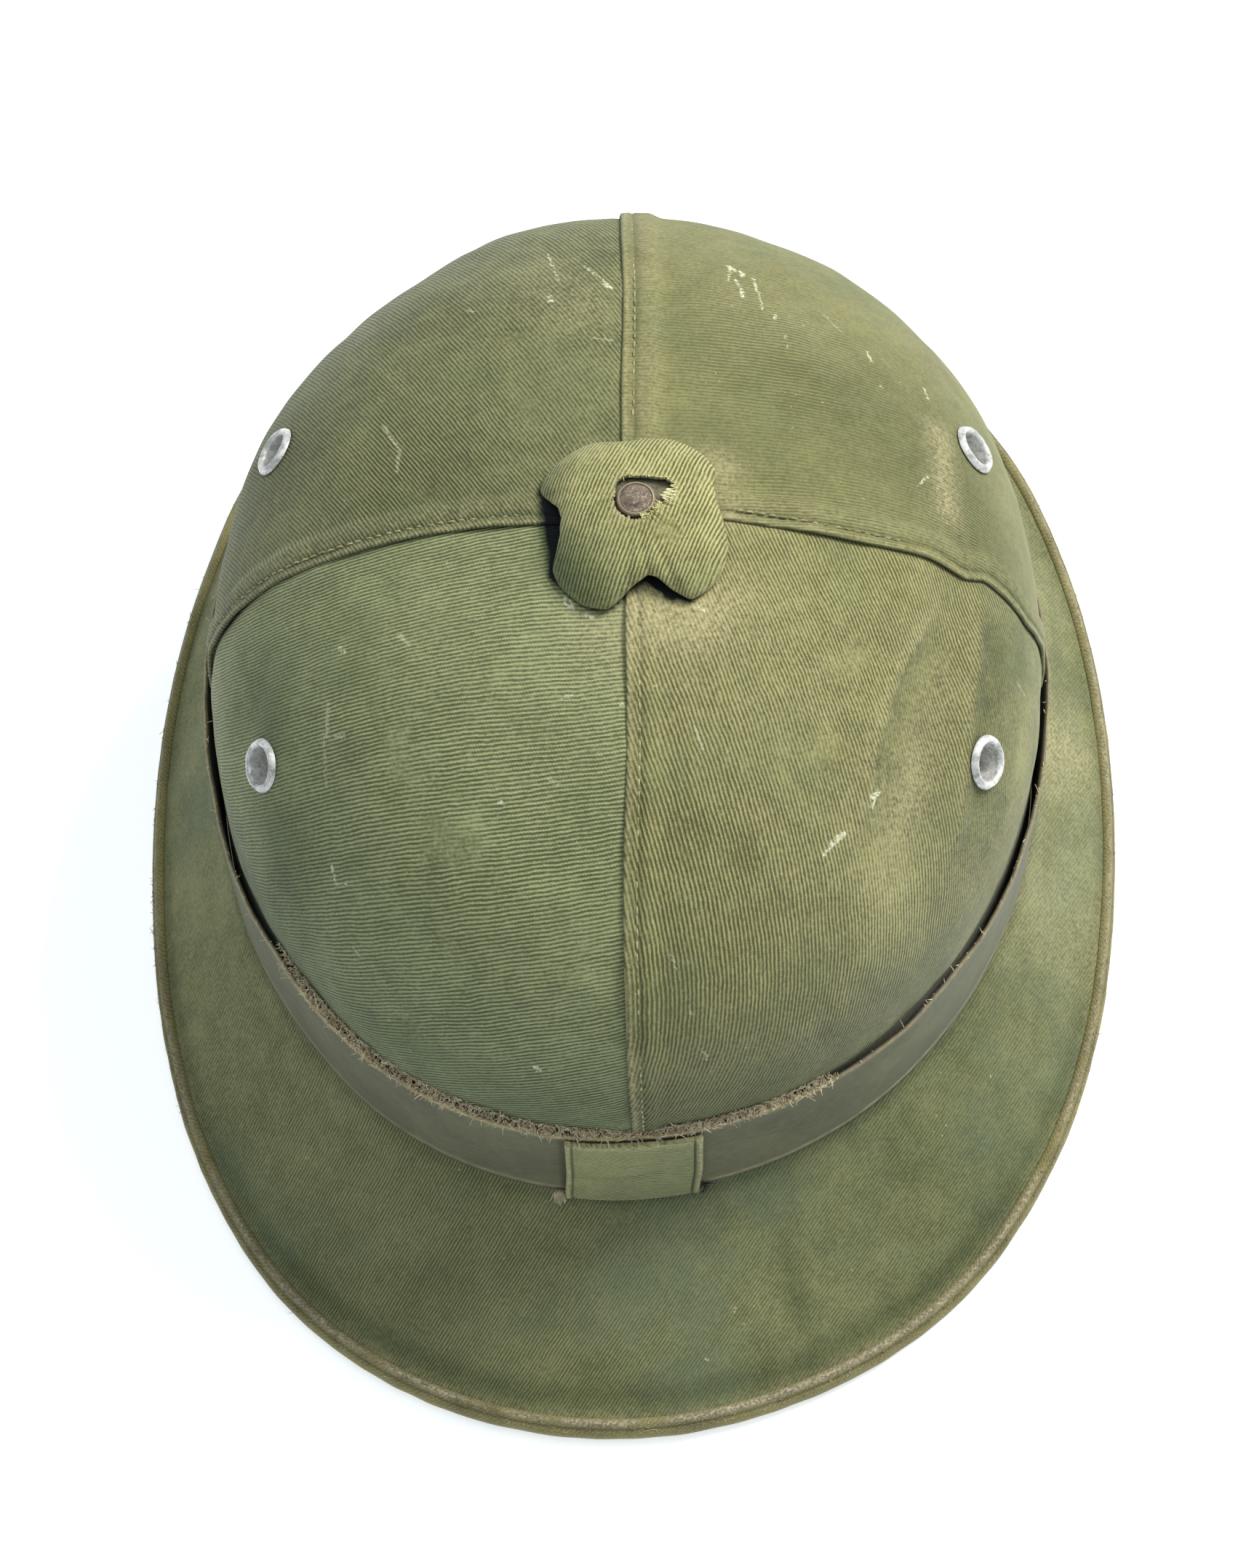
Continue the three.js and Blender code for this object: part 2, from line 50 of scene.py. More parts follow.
# deg, crown, rim
PLAN = np.array([
    (-180, 117.4, 155.6), (-165, 116.2, 153.6), (-150, 112.7, 147.5), (-135, 108.3, 139.0),
    (-120, 103.6, 128.3), (-105, 98.9, 122.0), (-90, 96.9, 120.1), (-75, 97.5, 123.1),
    (-60, 100.1, 131.6), (-45, 103.5, 144.0), (-30, 108.0, 156.6), (-15, 110.4, 163.6),
    (0, 110.7, 164.9), (15, 109.0, 161.3), (30, 106.3, 154.5), (45, 102.8, 143.4),
    (60, 99.8, 132.8), (75, 97.9, 125.3), (90, 97.2, 122.8), (105, 99.2, 125.2),
    (120, 103.9, 131.8), (135, 108.6, 141.8), (150, 112.9, 150.0), (165, 116.3, 154.6)])
CROWN, RIM = 1, 2
# x, y, half length along, half width across, turn, depth
DENTS = [
    (68, -34, 30, 7, -12, 2.4), (58, -36, 34, 6, -12, -0.7), (77, -30, 26, 5, -10, -0.7),
    (-66, 78, 30, 18, 40, 1.2), (-42, 88, 18, 12, 60, 1.2), (-82, -22, 22, 5, 0, 0.7)]
SEAM_FRONT, SEAM_RIGHT, SEAM_BACK, SEAM_LEFT = 0.5, 88.5, 180.5, 270.5
# name, deg, arc
EYELETS = [("eyelet_left_front", -63.5, 28), ("eyelet_right_front", 62.5, 29.5),
           ("eyelet_left_back", -115, 32), ("eyelet_right_back", 114, 34.5)]
EY_HOLE, EY_FLANGE, EY_BACK, EY_BARREL, EY_CLEAR = 4.0, 6.1, 5.6, 4.6, 5.0
CAP_X, CAP_Y, CAP_LOBE, CAP_FRONT, CAP_RISE, CAP_THICK, CAP_FOOT = 3.1, -0.4, 22.5, 1.1, 9.0, 1.1, 1.0
# deg, depth, wide, lift
NOTCHES = [(9, 7.6, 15, 3.6), (101, 3.4, 18, 1.8), (-177, 2.2, 14, 1.6), (-82, 6.8, 20, 4.2)]
RIVET_X, RIVET_Y, RIVET_R = 3.6, 0.0, 4.1
TAB_DEG, TAB_HALF, TAB_THICK, TAB_FOOT, TAB_HEAD = 1.1, 15.7, 1.2, 28.9, 63.0
CAP_TOP = CROWN_TOP + 0.4 + CAP_RISE
RIB = 0.87  # spacing of the twill's ribs

# ---------------------------------------------------------------- surface functions
R = np.radians


def wrap(d):
    return (np.asarray(d, float) + 180) % 360 - 180


def plan(col, deg):
    t, n = PLAN[:, col], len(PLAN)
    x = (wrap(deg) + 180) / (360 / n)
    i = np.floor(x).astype(int)
    f = x - i
    a, b, c, d = (t[(i + k) % n] for k in (-1, 0, 1, 2))
    return b + 0.5 * f * (c - a + f * (2 * a - 5 * b + 4 * c - d + f * (3 * (b - c) + d - a)))


def power(deg):
    s2 = np.sin(R(deg)) ** 2
    return POWER_SIDE * s2 + np.where(np.cos(R(deg)) > 0, POWER_FRONT, POWER_BACK) * (1 - s2)


def crown(deg, arc):
    p = power(deg)
    k = np.clip(np.cos(R(arc)), 0, 1) ** (2 / p)
    h = np.clip(np.sin(R(arc)), 0, 1) ** (2 / p)
    r = plan(CROWN, deg) * k
    return np.stack([np.sin(R(deg)) * r + TOP_SHIFT * h, -np.cos(R(deg)) * r,
                     BAND_TOP + (CROWN_TOP - BAND_TOP) * h], -1)


# rows are measured in millimetres from the crown's middle, along one reference meridian
_arcs = np.linspace(90, 0, 2000)
_ref = crown(np.full(2000, 45.0), _arcs)
_len = np.concatenate([[0], np.cumsum(np.linalg.norm(np.diff(_ref, axis=0), axis=1))])
V_BAND = _len[-1]
V_FOOT = V_BAND + BAND_TOP - PANEL_FOOT


def surf(deg, v):
    """Outer face of the crown and of the wall under the band, at plan angle deg and row v."""
    deg, v = np.broadcast_arrays(np.asarray(deg, float), np.asarray(v, float))
    top = crown(deg, np.interp(v, _len, _arcs))
    down = np.maximum(v - V_BAND, 0)
    r = plan(CROWN, deg) + WALL_FLARE * down / (BAND_TOP - BAND_FOOT)
    low = np.stack([np.sin(R(deg)) * r, -np.cos(R(deg)) * r, BAND_TOP - down], -1)
    return np.where((v > V_BAND)[..., None], low, top)


def unit(a):
    return a / np.maximum(np.linalg.norm(a, axis=-1, keepdims=True), 1e-9)


def normal(f, a, b, ha=0.3, hb=0.5):
    """Outward normal of a surface f(a, b), b running down and a running round."""
    return unit(np.cross(f(a, b + hb) - f(a, b - hb), f(a + ha, b) - f(a - ha, b)))


def waves(p, size, seed, n=14):
    """Smooth noise of about unit height: n plane waves of about that size."""
    g = np.random.default_rng(seed)
    k = unit(g.normal(size=(n, 3))) * (2 * np.pi / size) * g.uniform(0.6, 1.5, (n, 1))
    ph = g.uniform(0, 2 * np.pi, n)
    out = np.zeros(p.shape[:-1])
    for i in range(n):
        out += np.sin(p @ k[i] + ph[i])
    return out * math.sqrt(2 / n)


def smooth(x, a, b):
    t = np.clip((x - a) / (b - a), 0, 1)
    return t * t * (3 - 2 * t)


def bell(x, w):
    return np.exp(-(x / w) ** 2)


def dents(p):
    out = np.zeros(p.shape[:-1])
    for x, y, al, ac, turn, depth in DENTS:
        c, s = math.cos(R(turn)), math.sin(R(turn))
        dx, dy = p[..., 0] - x, p[..., 1] - y
        out += depth * np.exp(-((-dx * s + dy * c) / al) ** 2 - ((dx * c + dy * s) / ac) ** 2)
    return out * smooth(p[..., 2], BAND_TOP - 1, BAND_TOP + 6)


def seat(deg, arc):
    f = lambda a, b: crown(a, b)
    p = f(np.array(float(deg)), np.array(float(arc)))
    n = unit(np.cross(f(deg + .5, arc) - f(deg - .5, arc), f(deg, arc + .5) - f(deg, arc - .5)))
    n = n if n @ p > 0 else -n
    return p - n * dents(p), n


SEATS = [(name, *seat(d, a)) for name, d, a in EYELETS]

# ---------------------------------------------------------------- the photograph's camera
CAM = np.array([8.38, -332.16, 734.07])
CAM_R, CAM_U, CAM_F = (np.array(v) for v in (
    (0.99989, 0.00104, -0.01459), (0.00519, 0.90709, 0.42091), (-0.01367, 0.42094, -0.90698)))
FOCAL, PHOTO_W, PHOTO_H = 4363.33, 1713, 2156
scene = bpy.context.scene
cam_data = bpy.data.cameras.new("camera")
cam_data.sensor_fit, cam_data.sensor_height, cam_data.sensor_width = "VERTICAL", 36, 36
cam_data.lens = FOCAL / PHOTO_H * 36
cam_data.clip_start, cam_data.clip_end = 0.01, 20
camera = bpy.data.objects.new("camera", cam_data)
scene.collection.objects.link(camera)
m = Matrix.Identity(4)
for i, axis in enumerate((CAM_R, CAM_U, -CAM_F)):
    for j in range(3):
        m[j][i] = float(axis[j])
for j in range(3):
    m[j][3] = float(CAM[j]) * 0.001
camera.matrix_world = m
scene.camera = camera


def to_photo(p):
    """Photo pixels of points given in the modelling frame, before the shift to the middle of the rim."""
    d = p - np.array([CENTRE[0], CENTRE[1], 0]) - CAM
    w = d @ CAM_F
    return np.stack([PHOTO_W / 2 + FOCAL * (d @ CAM_R) / w, PHOTO_H / 2 - FOCAL * (d @ CAM_U) / w], -1)


# ---------------------------------------------------------------- places on the hat, by photo pixel
_d, _v = np.meshgrid(np.arange(-180, 180, 0.35), np.arange(6, V_BAND, 0.8))
_P = surf(_d, _v)
_N = normal(surf, _d, _v)
_P = _P - _N * dents(_P)[..., None]
_ok = ((_P - np.array([CENTRE[0], CENTRE[1], 0]) - CAM) * _N).sum(-1) < -20
ON_P = _P[_ok]
ON_PX = to_photo(ON_P)


def on(x, y):
    """The point of the crown that the photograph shows at that pixel."""
    return ON_P[np.argmin(((ON_PX - (x, y)) ** 2).sum(-1))]


def near(p, a, b):
    """Distance of points p to the segment a-b."""
    ab = b - a
    t = np.clip(((p - a) @ ab) / max(float(ab @ ab), 1e-6), 0, 1)
    return np.linalg.norm(p - a - t[..., None] * ab, axis=-1)


# Soft patches on the crown: photo pixels of both ends, radius in mm, amounts of dust, darkening and rubbing.
PATCHES = [
    # x0, y0, x1, y1, radius, dust, dark, rub
    (905, 830, 955, 850, 6.5, 1.0, 0.0, 0.6),   # dust in front of the cap
    (845, 860, 985, 815, 9.0, 0.55, 0.0, 0.3),
    (775, 640, 800, 610, 4.0, 0.15, 0.0, 0.2),
    (990, 650, 1000, 700, 5.0, 0.45, 0.0, 0.5),
    (965, 625, 985, 640, 4.0, 0.4, 0.0, 0.3),
    (1302, 700, 1290, 600, 4.5, 0.75, 0.0, 0.7), (1190, 560, 1270, 640, 24.0, 0.0, 0.42, 0.0), (1350, 700, 1385, 800, 12.0, 0.0, 0.35, 0.3),  # rub behind the right seam
    (1300, 950, 1245, 1100, 6.0, 0.30, 0.10, 0.3),  # inside the right hollow
    (1250, 1080, 1225, 1200, 8.0, 0.22, 0.2, 0.7),
    (745, 375, 800, 420, 9.0, 0.28, 0.0, 0.3),
    (800, 500, 740, 420, 16.0, 0.10, 0.0, 0.1),
    (395, 1150, 420, 1330, 13.0, 0.0, 0.75, 0.1),  # greener patches on the left
    (360, 960, 380, 1010, 9.0, 0.0, 0.6, 0.1),
    (330, 1180, 360, 1330, 14.0, 0.0, 0.7, 0.3),
    (1420, 900, 1450, 1150, 12.0, 0.0, 0.4, 0.9),
    (1350, 1150, 1330, 1330, 12.0, 0.1, 0.3, 0.6),
    (1010, 400, 1060, 430, 12.0, 0.15, 0.0, 0.3),
    (880, 600, 905, 320, 5.0, 0.1, 0.0, 0.5),
    (600, 860, 760, 950, 22.0, 0.15, 0.0, 0.0),
    (1050, 900, 1190, 1250, 26.0, 0.2, 0.0, 0.0),
    (470, 1380, 650, 1500, 14.0, 0.0, 0.35, 0.2),
    (1000, 1440, 1250, 1400, 14.0, 0.1, 0.1, 0.3),
]
# Thin pale marks on the crown: photo pixels of both ends, half width in mm, strength.
MARKS = {
    "panel_back_left": [
        (752, 350, 766, 385, 0.35, .8), (754, 408, 757, 414, 0.7, 1.0), (805, 368, 838, 392, 0.35, .7),
        (832, 390, 839, 395, 0.7, 1.0), (528, 585, 551, 620, 0.5, .5), (645, 427, 648, 430, 0.5, .6),
        (815, 463, 845, 470, 0.35, .4), (551, 620, 545, 650, 0.7, .35)],
    "panel_back_right": [
        (1003, 367, 1008, 372, 0.9, 1.0), (1003, 372, 1002, 384, 0.4, .8), (1018, 372, 1020, 380, 0.7, 1.0),
        (1012, 385, 1022, 402, 0.45, .9), (1018, 398, 1021, 408, 0.6, 1.0), (1035, 384, 1042, 400, 0.35, .8),
        (1040, 398, 1049, 425, 0.3, .7), (1064, 434, 1066, 439, 0.7, .9), (1078, 462, 1082, 480, 0.35, .5),
        (1130, 428, 1160, 458, 0.4, .5), (1192, 483, 1202, 496, 0.5, .8), (1270, 535, 1278, 550, 0.4, .7),
        (1275, 655, 1262, 668, 0.4, .6)],
    "panel_front_right": [
        (1131, 1174, 1144, 1160, 0.45, .9), (1143, 1161, 1158, 1147, 0.85, 1.0), (1199, 1095, 1206, 1090, 0.9, 1.0), (1201, 1098, 1200, 1110, 0.6, .9),
        (960, 833, 968, 838, 0.6, .8), (920, 1310, 948, 1390, 0.3, .5),
        (948, 1390, 975, 1460, 0.3, .45), (955, 1000, 965, 1030, 0.4, .35), (1400, 940, 1410, 960, 0.4, .35)],
    "panel_front_left": [
        (779, 824, 785, 835, 1.1, 1.0), (806, 842, 815, 846, 0.7, .8), (468, 890, 473, 898, 0.6, .7),
        (548, 875, 560, 885, 0.7, .45), (449, 970, 450, 1010, 0.8, .4), (446, 1010, 450, 1080, 0.6, .3),
        (855, 966, 859, 969, 0.5, .8), (688, 1100, 692, 1103, 0.5, .8), (740, 1466, 743, 1472, 0.7, 1.0),
        (456, 1192, 462, 1216, 0.5, .8), (462, 1216, 478, 1219, 0.4, .7), (488, 1303, 493, 1310, 0.5, .7),
        (755, 1068, 768, 1080, 0.7, .35), (460, 1015, 475, 1010, 0.7, .4), (773, 960, 784, 956, 0.5, .5)],
}


# ---------------------------------------------------------------- meshes
def make(name, verts, faces, sharp=50, attrs=None):
    """An object from points in mm in the modelling frame. attrs holds vectors for each point."""
    verts = np.asarray(verts, float)
    used = np.unique(np.concatenate([np.asarray(f).ravel() for f in faces]))
    remap = np.full(len(verts), -1)
    remap[used] = np.arange(len(used))
    co = (verts[used] - np.array([CENTRE[0], CENTRE[1], 0])) * 0.001
    polys = []
    for f in faces:
        polys += remap[np.asarray(f)].tolist()
    mesh = bpy.data.meshes.new(name)
    mesh.from_pydata(co.tolist(), [], polys)
    for key, val in (attrs or {}).items():
        a = mesh.attributes.new(key, "FLOAT_VECTOR", "POINT")
        a.data.foreach_set("vector", np.ascontiguousarray(np.asarray(val, np.float32)[used]).ravel())
    mesh.polygons.foreach_set("use_smooth", np.ones(len(mesh.polygons), bool))
    mesh.update()
    if sharp:
        mesh.set_sharp_from_angle(angle=math.radians(sharp))
    obj = bpy.data.objects.new(name, mesh)
    scene.collection.objects.link(obj)
    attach(obj, "root")
    return obj


def slab(name, F, B, keep=None, closed=False, attrs=None, sharp=50):
    """A thin closed body between an outer grid F and an inner grid B (rows down, columns round)."""
    n, c = F.shape[:2]
    idx = np.arange(n * c).reshape(n, c)
    cols = c if closed else c - 1
    j2 = (np.arange(cols) + 1) % c
    a, b, cc, d = idx[:-1, :cols], idx[:-1][:, j2], idx[1:][:, j2], idx[1:, :cols]
    keep = np.ones((n - 1, cols), bool) if keep is None else keep
    o = n * c
    q = lambda *s: np.stack([x[keep] for x in s], -1)
    faces = [q(a, d, cc, b), q(a + o, b + o, cc + o, d + o)]
    left = np.roll(keep, 1, 1)
    right = np.roll(keep, -1, 1)
    if not closed:
        left[:, 0] = False
        right[:, -1] = False
    up = np.vstack([np.zeros((1, cols), bool), keep[:-1]])
    down = np.vstack([keep[1:], np.zeros((1, cols), bool)])
    for nb, u, v in ((left, a, d), (down, d, cc), (right, cc, b), (up, b, a)):
        e = keep & ~nb
        if e.any():
            u, v = u[e], v[e]
            faces.append(np.stack([v, u, u + o, v + o], -1))
    at = {}
    for k, val in (attrs or {}).items():
        f, bk = val if isinstance(val, tuple) else (val, val)
        at[k] = np.concatenate([f.reshape(-1, 3), bk.reshape(-1, 3)])
    return make(name, np.concatenate([F.reshape(-1, 3), B.reshape(-1, 3)]), faces, sharp, at)


def punch(F, B, holes, radius, closed=False):
    """Mask of the quads to keep outside round holes (point, axis), with the holes' edges drawn onto circles."""
    n, c = F.shape[:2]
    cols = c if closed else c - 1
    j2 = (np.arange(cols) + 1) % c
    mid = (F[:-1, :cols] + F[:-1][:, j2] + F[1:][:, j2] + F[1:, :cols]) / 4
    keep = np.ones((n - 1, cols), bool)
    for p, ax in holes:
        d = mid - p
        along = d @ ax
        dist = np.linalg.norm(d - along[..., None] * ax, axis=-1)
        gone = (dist < radius) & (np.abs(along) < 14)
        keep &= ~gone
        edge = np.zeros((n, c), int)
        stay = np.zeros((n, c), int)
        for rows in (slice(0, n - 1), slice(1, n)):
            for cl in (np.arange(cols), j2):
                np.add.at(edge, (np.arange(n)[rows][:, None], cl[None, :]), gone)
                np.add.at(stay, (np.arange(n)[rows][:, None], cl[None, :]), ~gone)
        rim = (edge > 0) & (stay > 0)
        for G in (F, B):
            d = G[rim] - p
            al = (d @ ax)[:, None] * ax
            G[rim] = p + al + unit(d - al) * radius
    return keep


def tubes(name, paths, radii, sides=5, ends=(0.7, 0.35), attrs=None):
    """Thin closed strands. paths is (n, k, 3) in mm, radii one for each strand."""
    paths = np.asarray(paths, float)
    n, k = paths.shape[:2]
    t = unit(np.gradient(paths, axis=1))
    ref = unit(np.random.default_rng(len(name)).normal(size=(n, 1, 3)) + np.array([0, 0, 0.01]))
    u = unit(np.cross(t, np.broadcast_to(ref, t.shape)))
    w = np.cross(t, u)
    f = np.linspace(0, 1, k)
    shape = np.minimum(1, ends[0] + (1 - ends[0]) * f * 6) * np.minimum(1, ends[1] + (1 - ends[1]) * (1 - f) * 3)
    r = np.asarray(radii, float).reshape(n, 1) * shape[None]
    ang = np.arange(sides) * 2 * np.pi / sides
    ring = (u[:, :, None] * np.cos(ang)[None, None, :, None] + w[:, :, None] * np.sin(ang)[None, None, :, None])
    V = paths[:, :, None] + ring * r[:, :, None, None]
    idx = np.arange(n * k * sides).reshape(n, k, sides)
    j2 = (np.arange(sides) + 1) % sides
    body = np.stack([idx[:, :-1], idx[:, :-1][..., j2], idx[:, 1:][..., j2], idx[:, 1:]], -1).reshape(-1, 4)
    caps = np.concatenate([idx[:, 0, ::-1], idx[:, -1]])
    at = None
    if attrs:
        at = {key: np.broadcast_to(val[:, None, None, :], V.shape).reshape(-1, 3) for key, val in attrs.items()}
    return make(name, V.reshape(-1, 3), [body, caps], 0, at)


# ---------------------------------------------------------------- node helper
def rgb(r, g, b):
    def lin(c):
        c = c / 255
        return c / 12.92 if c <= 0.04045 else ((c + 0.055) / 1.055) ** 2.4
    return (lin(r), lin(g), lin(b), 1.0)


class Net:
    def __init__(self, name, rough=0.9, **fixed):
        self.mat = bpy.data.materials.new(name)
        self.mat.use_nodes = True
        self.t = self.mat.node_tree
        self.t.nodes.clear()
        out = self.t.nodes.new("ShaderNodeOutputMaterial")
        self.b = self.t.nodes.new("ShaderNodeBsdfPrincipled")
        self.t.links.new(self.b.outputs[0], out.inputs[0])
        self.b.inputs["Roughness"].default_value = rough
        for k, v in fixed.items():
            self.b.inputs[k.replace("_", " ")].default_value = v
        self._pos = None

    def set(self, src, sock):
        if isinstance(src, (int, float, tuple)):
            sock.default_value = src
        else:
            self.t.links.new(src, sock)

    def node(self, kind, ins, out=0, **props):
        n = self.t.nodes.new(kind)
        for k, v in props.items():
            setattr(n, k, v)
        for k, v in ins.items():
            if v is not None:
                self.set(v, n.inputs[k])
        return n.outputs[out]

    def math(self, op, a, b=None, c=None, clamp=False):
        return self.node("ShaderNodeMath", {0: a, 1: b, 2: c}, operation=op, use_clamp=clamp)

    def vec(self, op, a, b=None, out=0, scale=None):
        return self.node("ShaderNodeVectorMath", {0: a, 1: b, "Scale": scale}, out, operation=op)

    def pos(self):
        """object coordinates in mm"""
        if self._pos is None:
            self._pos = self.vec("SCALE", self.node("ShaderNodeTexCoord", {}, 3), scale=1000.0)
        return self._pos

    def attr(self, name):
        return self.node("ShaderNodeAttribute", {}, 1, attribute_name=name)

    def sep(self, v):
        n = self.t.nodes.new("ShaderNodeSeparateXYZ")
        self.t.links.new(v, n.inputs[0])
        return n.outputs[0], n.outputs[1], n.outputs[2]

    def xyz(self, x, y, z=0.0):
        return self.node("ShaderNodeCombineXYZ", {0: x, 1: y, 2: z})

    def noise(self, v, size, detail=2.0, rough=0.5, lo=None, hi=None):
        """noise of that size in mm, stretched from lo..hi to 0..1 if given"""
        f = self.node("ShaderNodeTexNoise", {"Vector": v, "Scale": 1.0 / size, "Detail": detail, "Roughness": rough})
        return f if lo is None else self.range(f, lo, hi)

    def range(self, x, a, b, c=0.0, d=1.0, smooth=True):
        return self.node("ShaderNodeMapRange", {0: x, 1: a, 2: b, 3: c, 4: d},
                         interpolation_type="SMOOTHSTEP" if smooth else "LINEAR", clamp=True)

    def mix(self, f, a, b, mode="MIX"):
        n = self.t.nodes.new("ShaderNodeMix")
        n.data_type, n.blend_type = "RGBA", mode
        self.set(f, n.inputs[0])
        self.set(a, n.inputs[6])
        self.set(b, n.inputs[7])
        return n.outputs[2]

    def bump(self, h, distance, strength=1.0, normal=None):
        return self.node("ShaderNodeBump", {"Height": h, "Distance": distance * 0.001, "Strength": strength,
                                            "Normal": normal})

    def segment(self, a, b, width):
        """1 on the segment a-b (mm), 0 past that width"""
        ab = b - a
        l2 = max(float(ab @ ab), 1e-4)
        d = self.vec("SUBTRACT", self.wob(), tuple(map(float, a)))
        t = self.math("DIVIDE", self.vec("DOT_PRODUCT", d, tuple(map(float, ab)), 1), l2, clamp=True)
        away = self.vec("SUBTRACT", d, self.vec("SCALE", tuple(map(float, ab)), scale=t))
        return self.range(self.vec("LENGTH", away, out=1), float(width), float(width) * 0.35)

    def wob(self):
        """object coordinates shaken by a fine noise, so marks get ragged edges"""
        if not hasattr(self, "_wob"):
            n = self.node("ShaderNodeTexNoise", {"Vector": self.pos(), "Scale": 1.1, "Detail": 3.0}, 1)
            off = self.vec("SCALE", self.vec("SUBTRACT", n, (0.5, 0.5, 0.5)), scale=1.7)
            self._wob = self.vec("ADD", self.pos(), off)
        return self._wob


def shifted(p):
    return np.asarray(p, float) - np.array([CENTRE[0], CENTRE[1], 0])


def twill(name, low, high, pale=(196, 184, 142), deep=(0.30, 0.36, 0.32, 1.0), rib=RIB, marks=(), relief=0.22, green=(98, 112, 74),
          patchy=1.0, seed=0.0):
    """Cotton twill. Attribute tw holds across and along the ribs in mm and the share of rib that is worn flat;
    attribute st holds dust and painted highlights, darkening and painted shade, and rubbing."""
    n = Net(name, rough=0.88, Sheen_Weight=0.12, Sheen_Roughness=0.45, Specular_IOR_Level=0.25)
    across, along, flat = n.sep(n.attr("tw"))
    dust_and_highlight, dark, rub = n.sep(n.attr("st"))
    P = n.pos()
    soft = n.noise(P, 9.0, 2.0)
    drift = n.math("MULTIPLY_ADD", n.noise(P, 9.0, 1.0), 0.9, n.math("MULTIPLY", n.noise(P, 1.9, 1.0), 0.34))
    phase = n.math("ADD", n.math("DIVIDE", across, rib), drift)
    wave = n.math("SINE", n.math("MULTIPLY", phase, 2 * math.pi))
    crest = n.math("MULTIPLY_ADD", wave, 0.5, 0.5)
    # each rib is a row of slanting floats
    float_phase = n.math("MULTIPLY_ADD", along, 1 / 0.62, n.math("MULTIPLY", phase, 0.5))
    # some ribs stand out for a few millimetres, others are rubbed down
    lively = n.noise(n.xyz(n.math("MULTIPLY", phase, 0.8), n.math("MULTIPLY", along, 0.2)), 1.0, 2.0, 0.6)
    floats = n.math("MULTIPLY_ADD", n.math("SINE", n.math("MULTIPLY", float_phase, 2 * math.pi)), 0.5, 0.5)
    crumb = n.noise(P, 0.5, 2.0, 0.65)
    height = n.math("ADD", n.math("MULTIPLY", crest, 0.78),
                    n.math("ADD", n.math("MULTIPLY", n.math("MULTIPLY", floats, crest), 0.22), n.math("MULTIPLY", crumb, 0.22)))
    weak = n.math("MAXIMUM", flat, n.math("MULTIPLY", rub, 0.85))
    weak = n.math("MAXIMUM", weak, n.noise(P, 17.0, 2.0, 0.5, 0.56, 0.78))
    show = n.math("MULTIPLY", n.math("SUBTRACT", 1.0, n.math("MULTIPLY", weak, 0.86)), n.range(lively, 0.28, 0.62, 0.45, 1.15, False))
    # colour: valley to crest, with slow drift of tone
    tone = n.math("MULTIPLY", n.math("MULTIPLY_ADD", n.math("SUBTRACT", height, 0.56), show, 0.5), 1.0)
    tone = n.math("ADD", tone, n.math("MULTIPLY", n.math("SUBTRACT", n.noise(P, 0.9, 2.0, 0.6), 0.5), 0.75))
    tone = n.math("ADD", tone, n.math("MULTIPLY", n.math("SUBTRACT", n.noise(P, 5.5, 2.0, 0.6), 0.5), 0.45))
    tone = n.math("ADD", tone, n.math("MULTIPLY", n.math("SUBTRACT", n.noise(P, 26.0, 3.0, 0.55), 0.5), 0.55 * patchy), clamp=True)
    col = n.mix(n.range(tone, 0.08, 0.95), rgb(*low), rgb(*high))
    col = n.mix(n.math("MULTIPLY", n.noise(P, 38.0, 3.0, 0.6, 0.47, 0.72), 0.30 * patchy), col, rgb(*green), "MIX")
    # darkening: dirt and painted shade; past 1 it is the painted shade under the cap, near black
    col = n.mix(n.math("MULTIPLY", n.math("MINIMUM", dark, 1.0), 0.75), col, deep, "MULTIPLY")
    col = n.mix(n.range(dark, 1.05, 1.9), col, rgb(22, 26, 28))
    # dust and painted highlights lie in the fabric in crumbs
    grain = n.math("MULTIPLY_ADD", n.noise(P, 0.9, 3.0, 0.7), 3.0, -0.95)
    amount = n.math("MULTIPLY", dust_and_highlight, n.math("MAXIMUM", grain, 0.12), clamp=True)
    col = n.mix(n.math("MULTIPLY", amount, 0.8), col, rgb(*pale))
    fleck = n.math("MULTIPLY", n.noise(P, 1.15, 1.0, 0.5, 0.735, 0.79), n.noise(P, 14.0, 1.0, 0.5, 0.5, 0.68))
    col = n.mix(n.math("MULTIPLY", fleck, 0.55), col, rgb(205, 200, 150))
    hit = None
    for a, b, w, s in marks:
        one = n.math("MULTIPLY", n.segment(shifted(a), shifted(b), w * 0.8 + 0.2), s * 0.9)
        hit = one if hit is None else n.math("MAXIMUM", hit, one)
    if hit is not None:
        col = n.mix(n.math("MULTIPLY", hit, n.noise(P, 0.7, 2.0, 0.6, 0.36, 0.56)), col, rgb(228, 226, 196))
    n.set(col, n.b.inputs["Base Color"])
    fine = n.bump(n.math("MULTIPLY", height, show), relief * 1.4, 0.75)
    n.set(n.bump(soft, 0.5, 0.35, fine), n.b.inputs["Normal"])
    return n.mat


def set_mat(obj, mat, stands_for=()):
    obj.data.materials.clear()
    obj.data.materials.append(mat)
    if stands_for:
        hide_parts(*stands_for)
    return obj


# ---------------------------------------------------------------- crown panels
OVER = np.array([0, .1, .22, .4, .65, .95, 1.3, 1.7, 2.1, 2.4, 2.7, 3.05, 3.5, 4.1, 5, 6, 7, 8, 9, 10, 11.2, 12.6, 14])
UNDER = np.array([0, 1.3, 2.6, 4, 5.5, 7, 8.6, 10.2, 12, 14])
NOSE = 0.9  # the fold of the upper panel passes the seam by this much
MID = 104


